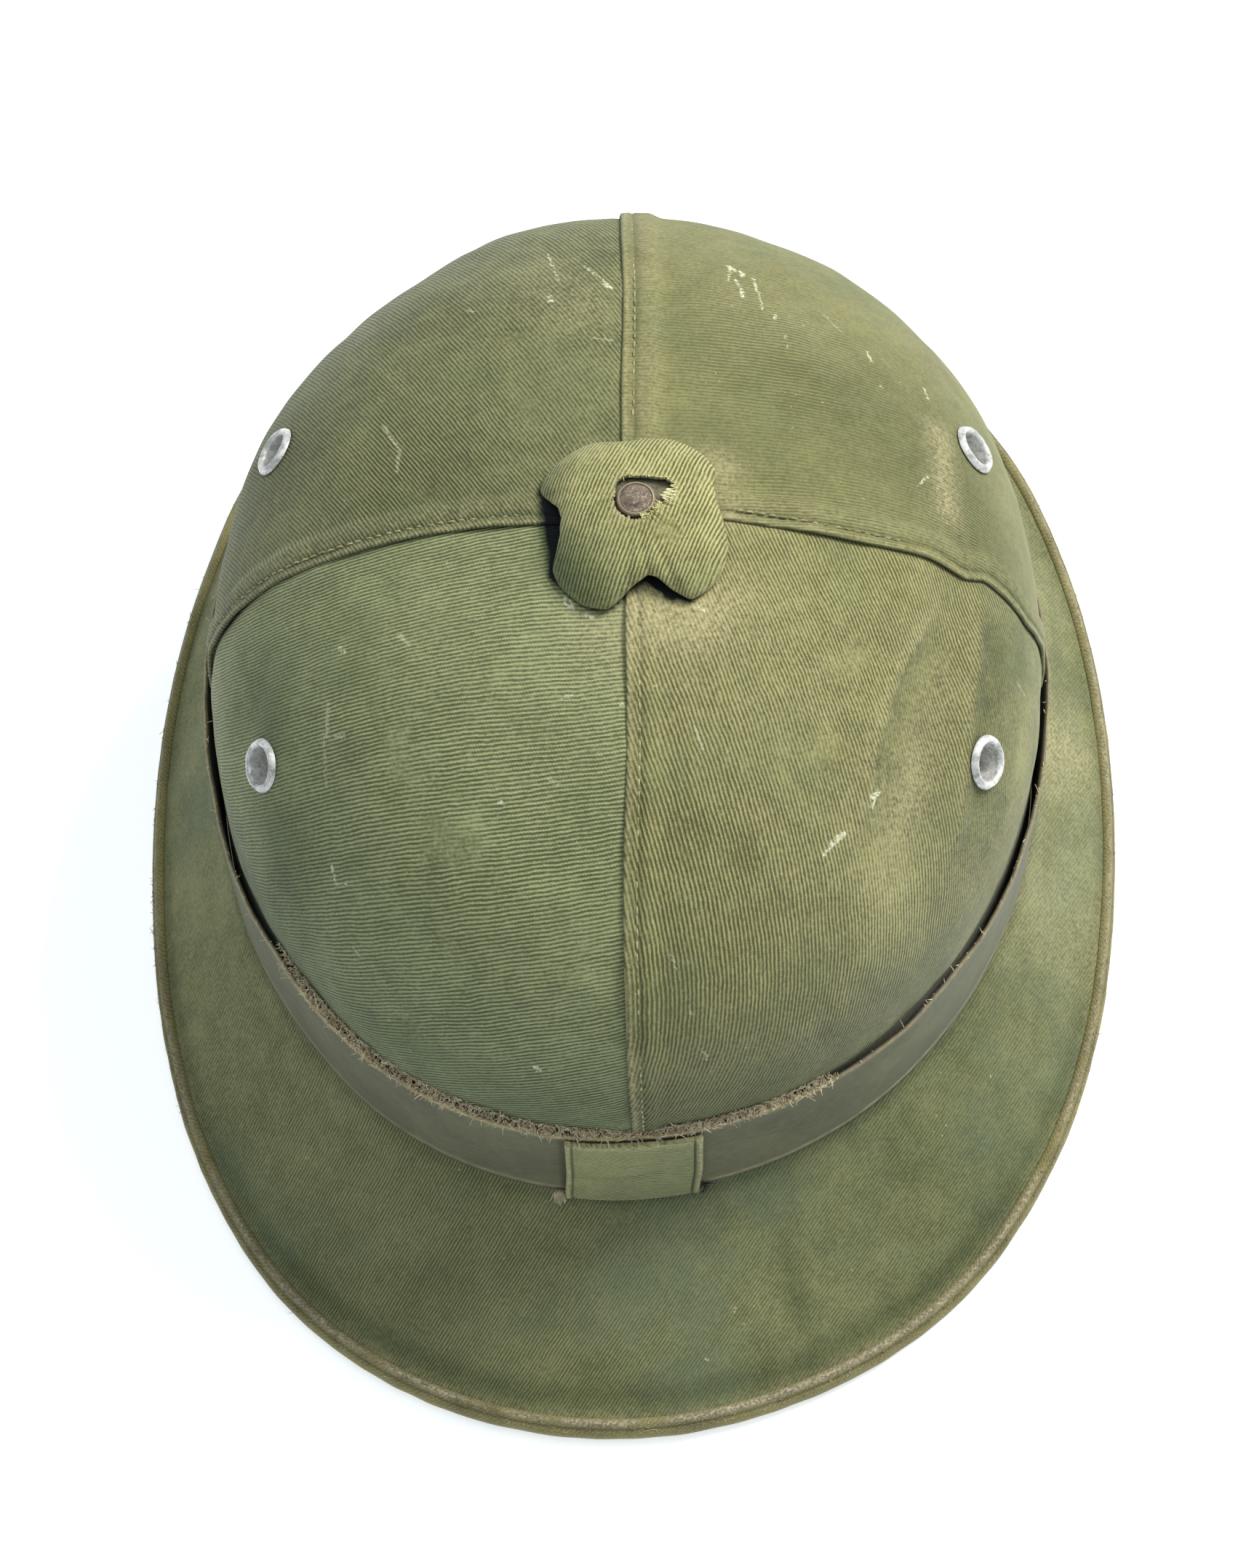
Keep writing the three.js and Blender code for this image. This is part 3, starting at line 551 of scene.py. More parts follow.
# row, sideways step of the right seam, mm
RIGHT_PATH = np.array([(0, 1.2), (14, 1.6), (23, 1.9), (33, 1.3), (43.5, .8), (54, .45), (63, .75), (72, 1.25), (77.7, .8), (83.4, 0.0),
                       (86.7, 1.0), (90, 2.35), (94.8, 1.55), (101.4, .5), (109.8, -.8), (123, 1.1), (160, 1.1)])


def wander(seam, v):
    """Sideways drift of a seam, mm, along its length."""
    if seam == "right":
        # the seam steps sideways where the hollow's upper end pulls it
        vv = np.arange(0.0, 160.0, 0.5)
        path = np.interp(vv, RIGHT_PATH[:, 0], RIGHT_PATH[:, 1])
        path = np.convolve(np.pad(path, 4, "edge"), np.array([1, 3, 6, 8, 9, 8, 6, 3, 1]) / 45, "valid")
        return np.interp(v, vv, path)
    k = {"front": 1.0, "back": 2.0, "left": 3.0}[seam]
    step = 1.15 * smooth(v, V_BAND - 60, V_BAND - 12) if seam == "front" else 0
    return 0.45 * np.sin(v / (23 + 3 * k) + k) + 0.15 * np.sin(v / 8.1 + 2 * k) + step


def seam_profile(t, v, high, hem, stitch, ridge):
    """Height of the upper panel over its neighbour's face at distance t from its fold."""
    h = high * (1 - smooth(t, hem, hem + 3.2))
    h = h + ridge * bell(t - hem, 1.1) - 0.30 * bell(t - stitch, 0.38)
    return h


def crown_panel(name, a, seam_a, b, seam_b, over_a, over_b, rib_deg, kinds, hole, seed):
    """Panel between seams at plan angles a < b. over_a, over_b: it lies over its neighbour on that side."""
    v = np.concatenate([np.linspace(3.4, 14, 7)[:-1], np.arange(14, V_FOOT - 0.6, 1.22), [V_FOOT]])
    n = len(v)
    mid_r = np.linalg.norm(surf(np.full(n, (a + b) / 2), v)[:, :2] - np.array([TOP_SHIFT, 0]) * np.clip((V_BAND - v) / V_BAND, 0, 1)[:, None], axis=1)
    width = mid_r * np.radians(b - a)
    wa, wb = wander(seam_a, v), wander(seam_b, v)
    lo = wa - (NOSE if over_a else -SEAM_IN)
    hi = width + wb + (NOSE if over_b else -SEAM_IN)
    la, lb = (OVER if over_a else UNDER), (OVER if over_b else UNDER)
    s = np.minimum(1, (hi - lo) / 34)[:, None]
    left = lo[:, None] + s * la[None]
    right = (hi[:, None] - s * lb[None])[:, ::-1]
    f = np.linspace(0, 1, MID + 2)[1:-1]
    x = np.hstack([left, left[:, -1:] + (right[:, :1] - left[:, -1:]) * f[None], right])
    deg = a + np.degrees(x / mid_r[:, None])
    V = np.broadcast_to(v[:, None], x.shape)
    S = surf(deg, V)
    N = normal(surf, deg, V)
    ta = (x - lo[:, None]) / s
    tb = (hi[:, None] - x) / s
    low = smooth(V, V_BAND + 2, V_BAND - 3)  # details fade out behind the band
    off = -dents(S) + low * (0.16 * waves(S, 34, seed) + 0.07 * waves(S, 13, seed + 1))
    F_off, B_off = off.copy(), off - CLOTH
    for t, over, kind in ((ta, over_a, kinds[0]), (tb, over_b, kinds[1])):
        if over:
            high, hem, stitch, ridge = kind
            pucker = 0.10 * np.sin(V * 2 * np.pi / 4.6 + 1.3 * np.sin(V / 9)) * bell(t - 5, 4.5)
            h = seam_profile(t, V, high, hem, stitch, ridge) + pucker * smooth(t, .3, 2)
            nose = np.sqrt(np.clip(1 - ((0.65 - t) / 0.65) ** 2, 0, 1))
            nose = np.where(t > 0.65, 1, nose)
            mid = high * 0.5
            F_off = F_off + np.where(t < 0.65, mid + (h - mid) * nose, h) * (t < hem + 3.3) * low
            under = mid - (mid - 0.06) * nose
            back = under - (CLOTH + 0.06) * smooth(t, NOSE + 0.15, NOSE + 1.2)
            B_off = np.where(t < hem, off + np.where(t < NOSE + 1.2, back, -CLOTH) * low - CLOTH * (1 - low), B_off)
        else:
            edge = 0.35 * bell(t, 1.2)
            F_off = F_off - edge * low
    # small wrinkles on the back right panel by the side seam
    if name == "panel_back_right":
        place = on(1335, 725)
        d = np.linalg.norm(S - place, axis=-1)
        F_off = F_off + 0.42 * bell(d, 13) * np.sin(V * 2 * np.pi / 4.4 + 0.8 * np.sin(V / 3.1)) * bell(ta - 8, 5)
    if name == "panel_front_right":
        for line, *_ in CREASES:
            d, ends = beside(S, N, [on(*q) for q in line])
            lift = ends * (0.42 * bell(d, 1.7) - 0.30 * bell(d - 4.0, 2.6))
            F_off, B_off = F_off + lift, B_off + lift
    F = S + N * F_off[..., None]
    B = S + N * B_off[..., None]
    # flat coordinates of the cut cloth, for the weave
    phi = np.radians(deg - (a + b) / 2) * (mid_r / v)[:, None]
    X, Y = V * np.sin(phi), V * np.cos(phi)
    c, sn = math.cos(R(rib_deg)), math.sin(R(rib_deg))
    worn = np.maximum(bell(ta - 1.0, 1.0) * (0.55 if over_a else 0), bell(tb - 1.0, 1.0) * (0.55 if over_b else 0))
    worn = np.maximum(worn, rubbed(name, S, V, ta, tb))
    tw = np.stack([X * sn - Y * c, X * c + Y * sn, worn], -1)
    st = np.zeros(S.shape)
    for x0, y0, x1, y1, rad, dust_and_highlight, dark, rub in PATCHES:
        g = bell(near(S, on(x0, y0), on(x1, y1)), rad)
        st += g[..., None] * np.array([dust_and_highlight, dark, rub])
    # painted shade: the cloth running down behind the band, and the lower front of the crown towards the band
    st[..., 1] += 0.9 * smooth(V, V_BAND - 0.5, V_BAND + 2.5)
    st[..., 1] += 0.95 * smooth(V, V_BAND - 52, V_BAND - 10) * bell(wrap(deg), 64)
    st[..., 1] = np.minimum(st[..., 1], 0.95)
    # painted shade under the cap, reaching out past its notches
    cd = np.degrees(np.arctan2(S[..., 0] - CAP_X, -(S[..., 1] - CAP_Y)))
    reach = cap_r(cd) - 0.5 + 0.6 * bell(wrap(cd + 35), 35) + 4.9 * bell(wrap(cd + 83), 26) + 2.6 * bell(wrap(cd - 22), 11)
    st[..., 1] += 2.0 * smooth(reach - np.hypot(S[..., 0] - CAP_X, S[..., 1] - CAP_Y), 0, 1.6)
    # painted shade under the fold's edge and beside the stitch row
    seam_shade = 0.35 * bell(ta - 3.2, 0.8) * over_a + 0.35 * bell(tb - 3.2, 0.8) * over_b + 0.5 * bell(ta, 0.35) * over_a + 0.5 * bell(tb, 0.35) * over_b
    st[..., 1] += seam_shade
    # painted highlight along the fold's edge and towards the hem's end
    st[..., 0] += 0.5 * (bell(ta - 0.9, 0.6) * over_a + bell(tb - 0.9, 0.6) * over_b)
    st[..., 0] += 0.25 * (bell(ta - 5.4, 2.0) * over_a + bell(tb - 5.4, 2.0) * over_b) * (name != "panel_front_right")
    for k, (line, lost, shade, crease_highlight) in enumerate(CREASES):
        if name != "panel_front_right":
            continue
        d, ends = beside(S, N, [on(*q) for q in line])
        soft = (0.5, 2.6)[k]
        right = smooth(d, -soft, soft) * ends
        more = st[..., 1] + right * (shade[0] * np.exp(-np.maximum(d, 0) / shade[1]) + shade[2] * smooth(-d, -26, -16))
        st[..., 1] = np.maximum(st[..., 1], np.minimum(more, 0.95))
        st[..., 2] += right * smooth(-d, -lost - 3, -lost + 1)
        # painted highlight on the crease's left side
        st[..., 0] += ends * crease_highlight * bell(d + 1.3, 1.3)
    st[..., 0] *= 1 - smooth(st[..., 1], 1.0, 1.3)
    keep = punch(F, B, [hole], EY_CLEAR)
    return slab(name, F, B, keep, attrs={"tw": tw, "st": np.clip(st, 0, [1, 2, 1])})


# Creases beside the right hollow: photo pixels down the crease, width in mm right of it where the ribs are lost,
# shade (amount, reach in mm, steady amount), painted highlight on its left side.
CREASES = [
    ([(1296, 826), (1275, 864), (1237, 929), (1218, 988), (1206, 1023), (1202, 1047), (1198, 1093), (1180, 1140), (1160, 1190)],
     9.0, (0.75, 3.2, 0.22), 0.30),
    ([(1352, 812), (1350, 850), (1350, 881), (1346, 929), (1336, 972), (1333, 1042), (1329, 1082), (1320, 1130), (1310, 1190), (1300, 1250)],
     24.0, (0.45, 6.0, 0.60), 0.25),
]


def beside(S, N, line):
    """Distance of surface points from a line on the surface, positive to the right of its run, and a fade at its ends."""
    line = np.array(line)
    best = np.full(S.shape[:-1], 1e9)
    sign = np.ones(S.shape[:-1])
    share = np.zeros(S.shape[:-1])
    total = len(line) - 1
    for i in range(total):
        a, ab = line[i], line[i + 1] - line[i]
        t = np.clip(((S - a) @ ab) / float(ab @ ab), 0, 1)
        off = S - a - t[..., None] * ab
        dist = np.linalg.norm(off, axis=-1)
        near_ = dist < best
        best = np.where(near_, dist, best)
        sign = np.where(near_, np.sign((np.cross(np.broadcast_to(ab, S.shape), off) * N).sum(-1)), sign)
        share = np.where(near_, (i + t) / total, share)
    ends = smooth(share, 0, 0.20) * smooth(1 - share, 0, 0.28)
    return best * sign, ends


# panel: share of the ribs that is worn flat, and places where they still stand (photo pixel, radius in mm)
FLATNESS = {
    "panel_front_right": (0.12, []),
    "panel_back_right": (0.86, [(1335, 735, 13), (1180, 735, 9), (1060, 712, 9), (1060, 480, 20)]),
    "panel_back_left": (0.42, [(560, 640, 22)]),
    "panel_front_left": (0.05, []),
}


def rubbed(name, S, V, ta, tb):
    base, standing = FLATNESS[name]
    out = base * np.ones(S.shape[:-1])
    for x0, y0, rad in standing:
        out = out * (1 - 0.85 * bell(np.linalg.norm(S - on(x0, y0), axis=-1), rad))
    if name == "panel_front_right":
        out = np.maximum(out, 0.75 * bell(np.linalg.norm(S - on(1420, 1000), axis=-1), 26))
    return out


def cap_notch(d, k):
    return np.exp(-(np.abs(wrap(d - NOTCHES[k][0])) / NOTCHES[k][2]) ** 4)


# outline of the cap: plan angle, radius from its middle
CAP_OUT = np.array([
    (-174.5, 18.8), (-165.8, 19.5), (-157.8, 21.0), (-147.7, 21.6), (-136.8, 21.9), (-125.6, 21.9), (-116.2, 22.1), (-108.8, 21.5),
    (-103.1, 19.1), (-93.4, 16.8), (-83, 15.8), (-70.7, 16.9), (-63.5, 18.7), (-58.4, 20.6), (-54.4, 21.9), (-47, 22.5), (-37.2, 22.8),
    (-26.5, 23.3), (-19.7, 23.1), (-13.6, 22.6), (-8.5, 20.3), (-3.2, 17.9), (4.5, 16.9), (11, 15.8), (17.1, 16.9), (21.8, 18.8),
    (27.6, 20.7), (31.4, 22.8), (39.6, 23.0), (50.2, 22.9), (61.4, 22.6), (72.1, 21.5), (84.4, 19.5), (99.5, 18.3), (117.8, 19.1),
    (123.3, 21.4), (135.5, 22.3), (146.8, 22.2), (160.6, 21.6), (172.1, 20.0)])
_cd = np.arange(-180, 180, 1.0)
_cr = np.interp(_cd, CAP_OUT[:, 0], CAP_OUT[:, 1], period=360)
for _ in range(3):
    _cr = (np.roll(_cr, 1) + 2 * _cr + np.roll(_cr, -1)) / 4


def cap_r(d):
    return np.interp(d, _cd, _cr, period=360)


def cap_lift(d):
    return sum(NOTCHES[k][3] * cap_notch(d, k) for k in range(4))


SEAM_IN = 0.25
hole = {nm: (p, ax) for nm, p, ax in SEATS}
LOOKS = {
    # name: valley, crest, green share, patchiness
    "panel_front_right": ((92, 90, 56), (168, 165, 112)),
    "panel_back_right": ((104, 104, 66), (144, 142, 96)),
    "panel_back_left": ((79, 83, 55), (141, 141, 98)),
    "panel_front_left": ((92, 98, 66), (170, 175, 126)),
}
# height of the fold, width of the hem, stitch row from the fold, ridge at the hem's end
FRONT_SEAM, SIDE_SEAM, BACK_SEAM = (0.75, 4.4, 2.75, 0.0), (0.95, 6.6, 2.4, 0.16), (0.8, 6.2, 2.6, 0.18)
PANELS = [
    ("panel_front_right", SEAM_FRONT, "front", SEAM_RIGHT, "right", True, False, 114, (FRONT_SEAM, None), "eyelet_right_front", 11),
    ("panel_back_right", SEAM_RIGHT, "right", SEAM_BACK, "back", True, True, 134, (SIDE_SEAM, BACK_SEAM), "eyelet_right_back", 21),
    ("panel_back_left", SEAM_BACK, "back", SEAM_LEFT, "left", False, True, 105, (None, SIDE_SEAM), "eyelet_left_back", 31),
    ("panel_front_left", SEAM_LEFT, "left", SEAM_FRONT + 360, "front", False, False, 128, (None, None), "eyelet_left_front", 41),
]
# each crown panel with its twill and pale marks, in place of the model's panel
for nm, a, sa, b, sb, oa, ob, rd, kinds, ey, seed in PANELS:
    obj = crown_panel(nm, a, sa, b, sb, oa, ob, rd, kinds, hole[ey], seed)
    obj.name = nm + "_cloth"
    marks = [(on(x0, y0), on(x1, y1), w, s) for x0, y0, x1, y1, w, s in MARKS[nm]]
    low, high = LOOKS[nm]
    set_mat(obj, twill("twill_" + nm[6:], low, high, marks=marks), [nm])


# ---------------------------------------------------------------- stitches
def stitch_row(seam, deg0, sign, t, lift, pitch=2.5, length=1.9, v0=24, v1=None, seed=1):
    """Stitches beside a seam: sign +1 for a panel that lies after the seam, -1 before it."""
    g = np.random.default_rng(seed)
    vv = np.arange(v0, v1 or V_BAND - 1.5, pitch)
    vv = vv + g.normal(0, 0.10, len(vv))
    f = np.linspace(-0.5, 0.5, 5)
    V = vv[:, None] + f[None] * length
    side = t - NOSE + g.normal(0, 0.05, len(vv))[:, None] + 0.10 * f[None]
    mid_r = np.linalg.norm(surf(np.full(V.shape, deg0), V)[..., :2] - np.array([TOP_SHIFT, 0]) * np.clip((V_BAND - V) / V_BAND, 0, 1)[..., None], axis=-1)
    x = wander(seam, V) + sign * side
    deg = deg0 + np.degrees(x / mid_r)
    S = surf(deg, V)
    N = normal(surf, deg, V)
    h = lift + 0.10 - 0.34 * (2 * np.abs(f)[None]) ** 2 - dents(S)
    return S + N * h[..., None]


rows = np.concatenate([
    stitch_row("front", SEAM_FRONT, 1, 2.75, 0.52, seed=1, v0=22),
    stitch_row("back", SEAM_BACK, -1, 2.6, 0.57, seed=2, v0=26),
    stitch_row("right", SEAM_RIGHT, 1, 2.4, 0.72, seed=3, v0=26, v1=66),
    stitch_row("left", SEAM_LEFT, -1, 2.4, 0.72, seed=4, v0=26)])
stitches = tubes("panel_stitches", rows, np.full(len(rows), 0.25), 6, ends=(0.5, 0.5))


def thread_mat(name, dark, light, size=2.0):
    n = Net(name, rough=0.8, Sheen_Weight=0.2, Specular_IOR_Level=0.3)
    P = n.pos()
    x, y, z = n.sep(P)
    twist = n.math("SINE", n.math("MULTIPLY", n.math("ADD", n.math("ADD", x, y), z), 2 * math.pi / 0.35))
    k = n.math("MULTIPLY_ADD", twist, 0.12, n.noise(P, size, 2.0))
    n.set(n.mix(n.range(k, 0.3, 0.7), rgb(*dark), rgb(*light)), n.b.inputs["Base Color"])
    n.set(n.bump(twist, 0.06, 0.6), n.b.inputs["Normal"])
    return n.mat


set_mat(stitches, thread_mat("stitch_thread", (126, 124, 84), (196, 190, 142)))


# ---------------------------------------------------------------- brim cover
def wall_point(deg, z):
    r = plan(CROWN, deg) + WALL_FLARE * (BAND_TOP - z) / (BAND_TOP - BAND_FOOT)
    return r


def brim_section(deg):
    """Outer face of the brim cover: radius and height columns for each angle, rows from the wall to the rim."""
    foot = plan(CROWN, deg) + WALL_FLARE
    rim = plan(RIM, deg)
    keys = [(wall_point(deg, COVER_HEAD), np.full_like(deg, COVER_HEAD)),
            (wall_point(deg, BAND_FOOT + 1.2), np.full_like(deg, BAND_FOOT + 1.2)),
            (foot + 0.25, np.full_like(deg, 28.5)), (foot + 0.75, np.full_like(deg, 27.7)), (foot + 1.8, np.full_like(deg, 27.0))]
    r0, z0 = keys[-1]
    r1, z1 = rim - BEAD_R + 0.7, BEAD_LIFT + 1.45
    share = np.array([.06, .12, .2, .3, .4, .5, .6, .7, .78, .86, .92, .96, 1])
    drop = np.interp(share, [0, .2, .5, .78, 1], [0, .26, .57, .83, 1])
    drop[1:-1] = (drop[:-2] + 2 * drop[1:-1] + drop[2:]) / 4
    for o, d in zip(share, drop):
        keys.append((r0 + (r1 - r0) * o, z0 + (z1 - z0) * d))
    return np.stack([k[0] for k in keys]), np.stack([k[1] for k in keys])


AROUND = 600
deg = np.arange(AROUND) * 360 / AROUND - 180
kr, kz = brim_section(deg)
# refine the section by length
seg = np.hypot(np.diff(kr, axis=0), np.diff(kz, axis=0)).mean(1)
pos = np.concatenate([[0], np.cumsum(seg)])
fine = np.concatenate([np.linspace(0, pos[4], 9)[:-1], np.linspace(pos[4], pos[-1], 34)])
r = np.stack([np.interp(fine, pos, kr[:, j]) for j in range(AROUND)], 1)
z = np.stack([np.interp(fine, pos, kz[:, j]) for j in range(AROUND)], 1)
for _ in range(2):
    r[1:-1] = (r[:-2] + 2 * r[1:-1] + r[2:]) / 4
    z[1:-1] = (z[:-2] + 2 * z[1:-1] + z[2:]) / 4
D = np.broadcast_to(deg, r.shape)
S = np.stack([np.sin(R(D)) * r, -np.cos(R(D)) * r, z], -1)
dr = np.gradient(r, axis=0)
dz = np.gradient(z, axis=0)
ln = np.hypot(dr, dz)
nr, nz = -dz / ln, dr / ln
N = unit(np.stack([np.sin(R(D)) * nr, -np.cos(R(D)) * nr, nz], -1))
share = np.clip((fine - pos[4]) / (pos[-1] - pos[4]), 0, 1)[:, None] * np.ones_like(D)
edge_mm = (pos[-1] - fine)[:, None] * np.ones_like(D)
off = (0.22 * waves(S, 40, 51) + 0.08 * waves(S, 14, 52)) * smooth(share, 0, 0.15) * smooth(edge_mm, 1, 5)
fore = bell(wrap(D), 62)
off = off - (0.12 + 0.4 * fore) * bell(edge_mm - 4.2, 2.2)  # the hollow inside the rim
F = S + N * off[..., None]
B = S + N * (off - CLOTH)[..., None]
RIB_BRIM = 57.0
c, sn = math.cos(R(RIB_BRIM)), math.sin(R(RIB_BRIM))
stretch = np.interp(share, [0, 1], [1.0, 1.0])
ux, uy = np.sin(R(D)) * (r + 0.14 * (r - r[8])), -np.cos(R(D)) * (r + 0.14 * (r - r[8]))
# the ribs still stand at the front left and are worn away elsewhere
calm = 0.93 - 0.88 * bell(wrap(D + 22), 34) - 0.35 * bell(wrap(D - 38), 26)
tw = np.stack([ux * sn - uy * c, ux * c + uy * sn, np.maximum(calm, 0.35 * bell(edge_mm - 2, 2.5))], -1)
st = np.zeros(S.shape)
BRIM_PATCHES = [
    # deg, share out, half width in deg, half width in share, dust, dark, rub
    # the dark patch at 38 degrees is painted shade on the front right
    (16.5, .58, 1.3, .22, 0.0, 0.6, 0.4), (38, .35, 22, .8, 0.0, .62, .1),
    (92, .35, 6, .5, .7, 0.0, .5), (70, .5, 9, .8, .3, 0.0, .3), (-50, .6, 8, .5, 0.12, 0, .2),
    (0, .3, 20, .6, 0.0, 0.15, 0), (150, .5, 30, .8, 0.1, 0.1, 0.3),
    (-140, .5, 25, .8, 0.0, 0.2, 0.3)]
for d0, s0, wd, ws, du, da, ru in BRIM_PATCHES:
    g = bell(wrap(D - d0), wd) * bell(share - s0, ws)
    st += g[..., None] * np.array([du, da, ru])
# painted shade: in the hollow inside the rim, over the outer front, at the brim's root and where the cover runs up
# behind the band
st[..., 1] += (0.1 + 0.45 * fore) * bell(edge_mm - 4.0, 2.5) + 0.22 * fore * smooth(share, .45, .95) + 0.35 * (1 - smooth(share, 0.0, 0.05)) + 0.9 * (z > BAND_FOOT)
st[..., 0] += 0.35 * fore * bell(edge_mm - 1.2, 1.0)
brim = slab("brim_cover_cloth", F, B, closed=True, attrs={"tw": tw, "st": np.clip(st, 0, 1)})
set_mat(brim, twill("twill_brim", (95, 99, 66), (154, 153, 108), rib=0.76, relief=0.12, green=(108, 126, 104), patchy=1.1), ["brim_cover"])

# ---------------------------------------------------------------- rolled rim
K = 44
deg = np.arange(AROUND) * 360 / AROUND - 180
tip = np.stack([plan(RIM, deg) - BEAD_R + 0.7, np.full_like(deg, BEAD_LIFT + 1.45)], -1)
foot = plan(CROWN, deg) + WALL_FLARE + 1.8
bef = np.stack([foot + (tip[:, 0] - foot) * 0.78, 27.0 + (tip[:, 1] - 27.0) * 0.83], -1)
t = unit(tip - bef)
nn = np.stack([-t[:, 1], t[:, 0]], -1)
half = (CLOTH + GAP + SHELL_EDGE) / 2
midp = tip - nn * half
c0 = np.stack([plan(RIM, deg) - BEAD_R, np.full_like(deg, BEAD_LIFT)], -1)
slope = np.degrees(np.arctan2(-t[:, 1], t[:, 0]))
opening = math.degrees(math.acos(BEAD_LIP / BEAD_R))
upper, lower = 180 - opening - slope, -180 + opening - slope
ang = upper[None] + (lower - upper)[None] * np.linspace(0, 1, K)[:, None]
dirs = np.stack([np.sin(R(deg)), -np.cos(R(deg))], -1)
lump = waves(np.stack([dirs[:, 0] * 150, dirs[:, 1] * 150, np.zeros(AROUND)], -1), 9, 61)
lump2 = waves(np.stack([dirs[:, 0] * 150, dirs[:, 1] * 150, np.zeros(AROUND)], -1), 3.4, 62)
from_lip = (upper[None] - ang)
ridge = (0.46 + 0.07 * lump + 0.06 * lump2)[None] * bell(from_lip - 22, 13) - 0.20 * bell(from_lip - 52, 8)
rad = BEAD_R - 0.12 + ridge + 0.05 * lump[None] * smooth(from_lip, 60, 90)
q = c0[None] + rad[..., None] * np.stack([np.cos(R(ang)), np.sin(R(ang))], -1)
q[..., 1] = np.maximum(q[..., 1], 0.0)
q[..., 0] = np.minimum(q[..., 0], plan(RIM, deg)[None] + 0.25)
mouth = ((c0 - t * BEAD_LIP - midp) * t).sum(-1)
slot = lambda al, ac: midp + t * (np.asarray(al) * np.ones(AROUND))[:, None] + nn * ac
wide = half + GAP * 0.5
q = np.concatenate([q, slot(mouth, -wide)[None], slot(0.45, -wide)[None], slot(0.45, wide)[None], slot(mouth, wide)[None]])
ring = np.stack([dirs[None, :, 0] * q[..., 0], dirs[None, :, 1] * q[..., 0], q[..., 1]], -1)
kk = ring.shape[0]
idx = np.arange(kk * AROUND).reshape(kk, AROUND)
k2, j2 = (np.arange(kk) + 1) % kk, (np.arange(AROUND) + 1) % AROUND
faces = np.stack([idx, idx[k2], idx[k2][:, j2], idx[:, j2]], -1).reshape(-1, 4)
length = np.cumsum(np.linalg.norm(np.diff(c0[:, :1] * dirs, axis=0, append=(c0[:1, :1] * dirs[:1])), axis=1))
turn = np.concatenate([from_lip * BEAD_R * math.pi / 180, np.zeros((4, AROUND))])
tw = np.stack([turn * 0.72 + length[None] * 0.7, length[None] * 0.72 - turn * 0.7, np.zeros((kk, AROUND))], -1)
fore = (0.22 + 0.78 * np.maximum(bell(wrap(deg - 5), 62), 0.55 * bell(wrap(deg - 95), 45)))[None]
worn = np.concatenate([bell(from_lip - 20, 7 + 8 * fore) * fore, np.zeros((4, AROUND))])
# painted shade in the groove beside the worn ridge
groove_shade = np.concatenate([bell(from_lip - 50, 7) * (0.35 + 0.65 * fore), np.zeros((4, AROUND))])
st = np.stack([worn, groove_shade, np.zeros_like(worn)], -1)
bead = make("brim_binding_roll", ring.reshape(-1, 3), [faces], 55, {"tw": tw.reshape(-1, 3), "st": st.reshape(-1, 3)})
n = Net("rim_roll", rough=0.85, Sheen_Weight=0.15, Specular_IOR_Level=0.3)
P = n.pos()
a_, b_, _ = n.sep(n.attr("tw"))
worn_, groove_shade_, _ = n.sep(n.attr("st"))
rb = n.math("SINE", n.math("MULTIPLY", n.math("ADD", n.math("DIVIDE", a_, 0.8), n.math("MULTIPLY", n.noise(P, 2.5, 2.0), 0.5)), 2 * math.pi))
h = n.math("ADD", n.math("MULTIPLY", rb, 0.13), n.math("MULTIPLY", n.noise(P, 0.6, 3.0, 0.65), 1.1))
col = n.mix(n.range(n.math("ADD", n.math("MULTIPLY", h, 0.55), n.math("MULTIPLY", n.noise(P, 12.0, 2.0), 0.5)), 0.2, 0.9), rgb(96, 90, 54), rgb(158, 150, 100))
ragged = n.math("MULTIPLY", worn_, n.math("MULTIPLY_ADD", n.noise(P, 1.5, 3.0, 0.7), 1.6, 0.1), clamp=True)
col = n.mix(n.math("MULTIPLY", ragged, n.noise(P, 22.0, 2.0, 0.5, 0.3, 0.5)), col, n.mix(n.noise(P, 0.7, 3.0, 0.6, 0.35, 0.65), rgb(120, 112, 92), rgb(196, 184, 158)))
col = n.mix(n.math("MULTIPLY", groove_shade_, 0.6), col, rgb(62, 58, 40))
n.set(col, n.b.inputs["Base Color"])
n.set(n.bump(h, 0.22, 0.7), n.b.inputs["Normal"])
set_mat(bead, n.mat, ["brim_binding"])


# ---------------------------------------------------------------- hat band
def standoff(d):
    return STAND_END + (STAND_SIDE - STAND_END) * np.abs(np.sin(R(d))) ** 0.8


def band_at(d, z, off):
    t = np.clip((z - BAND_FOOT) / (BAND_TOP - BAND_FOOT), 0, 1)
    wall = plan(CROWN, d) + WALL_FLARE * (1 - t)
    r = wall + GAP + (standoff(d) - GAP) * t ** 1.2 + off
    return np.stack([np.sin(R(d)) * r, -np.cos(R(d)) * r, z * np.ones_like(r)], -1)


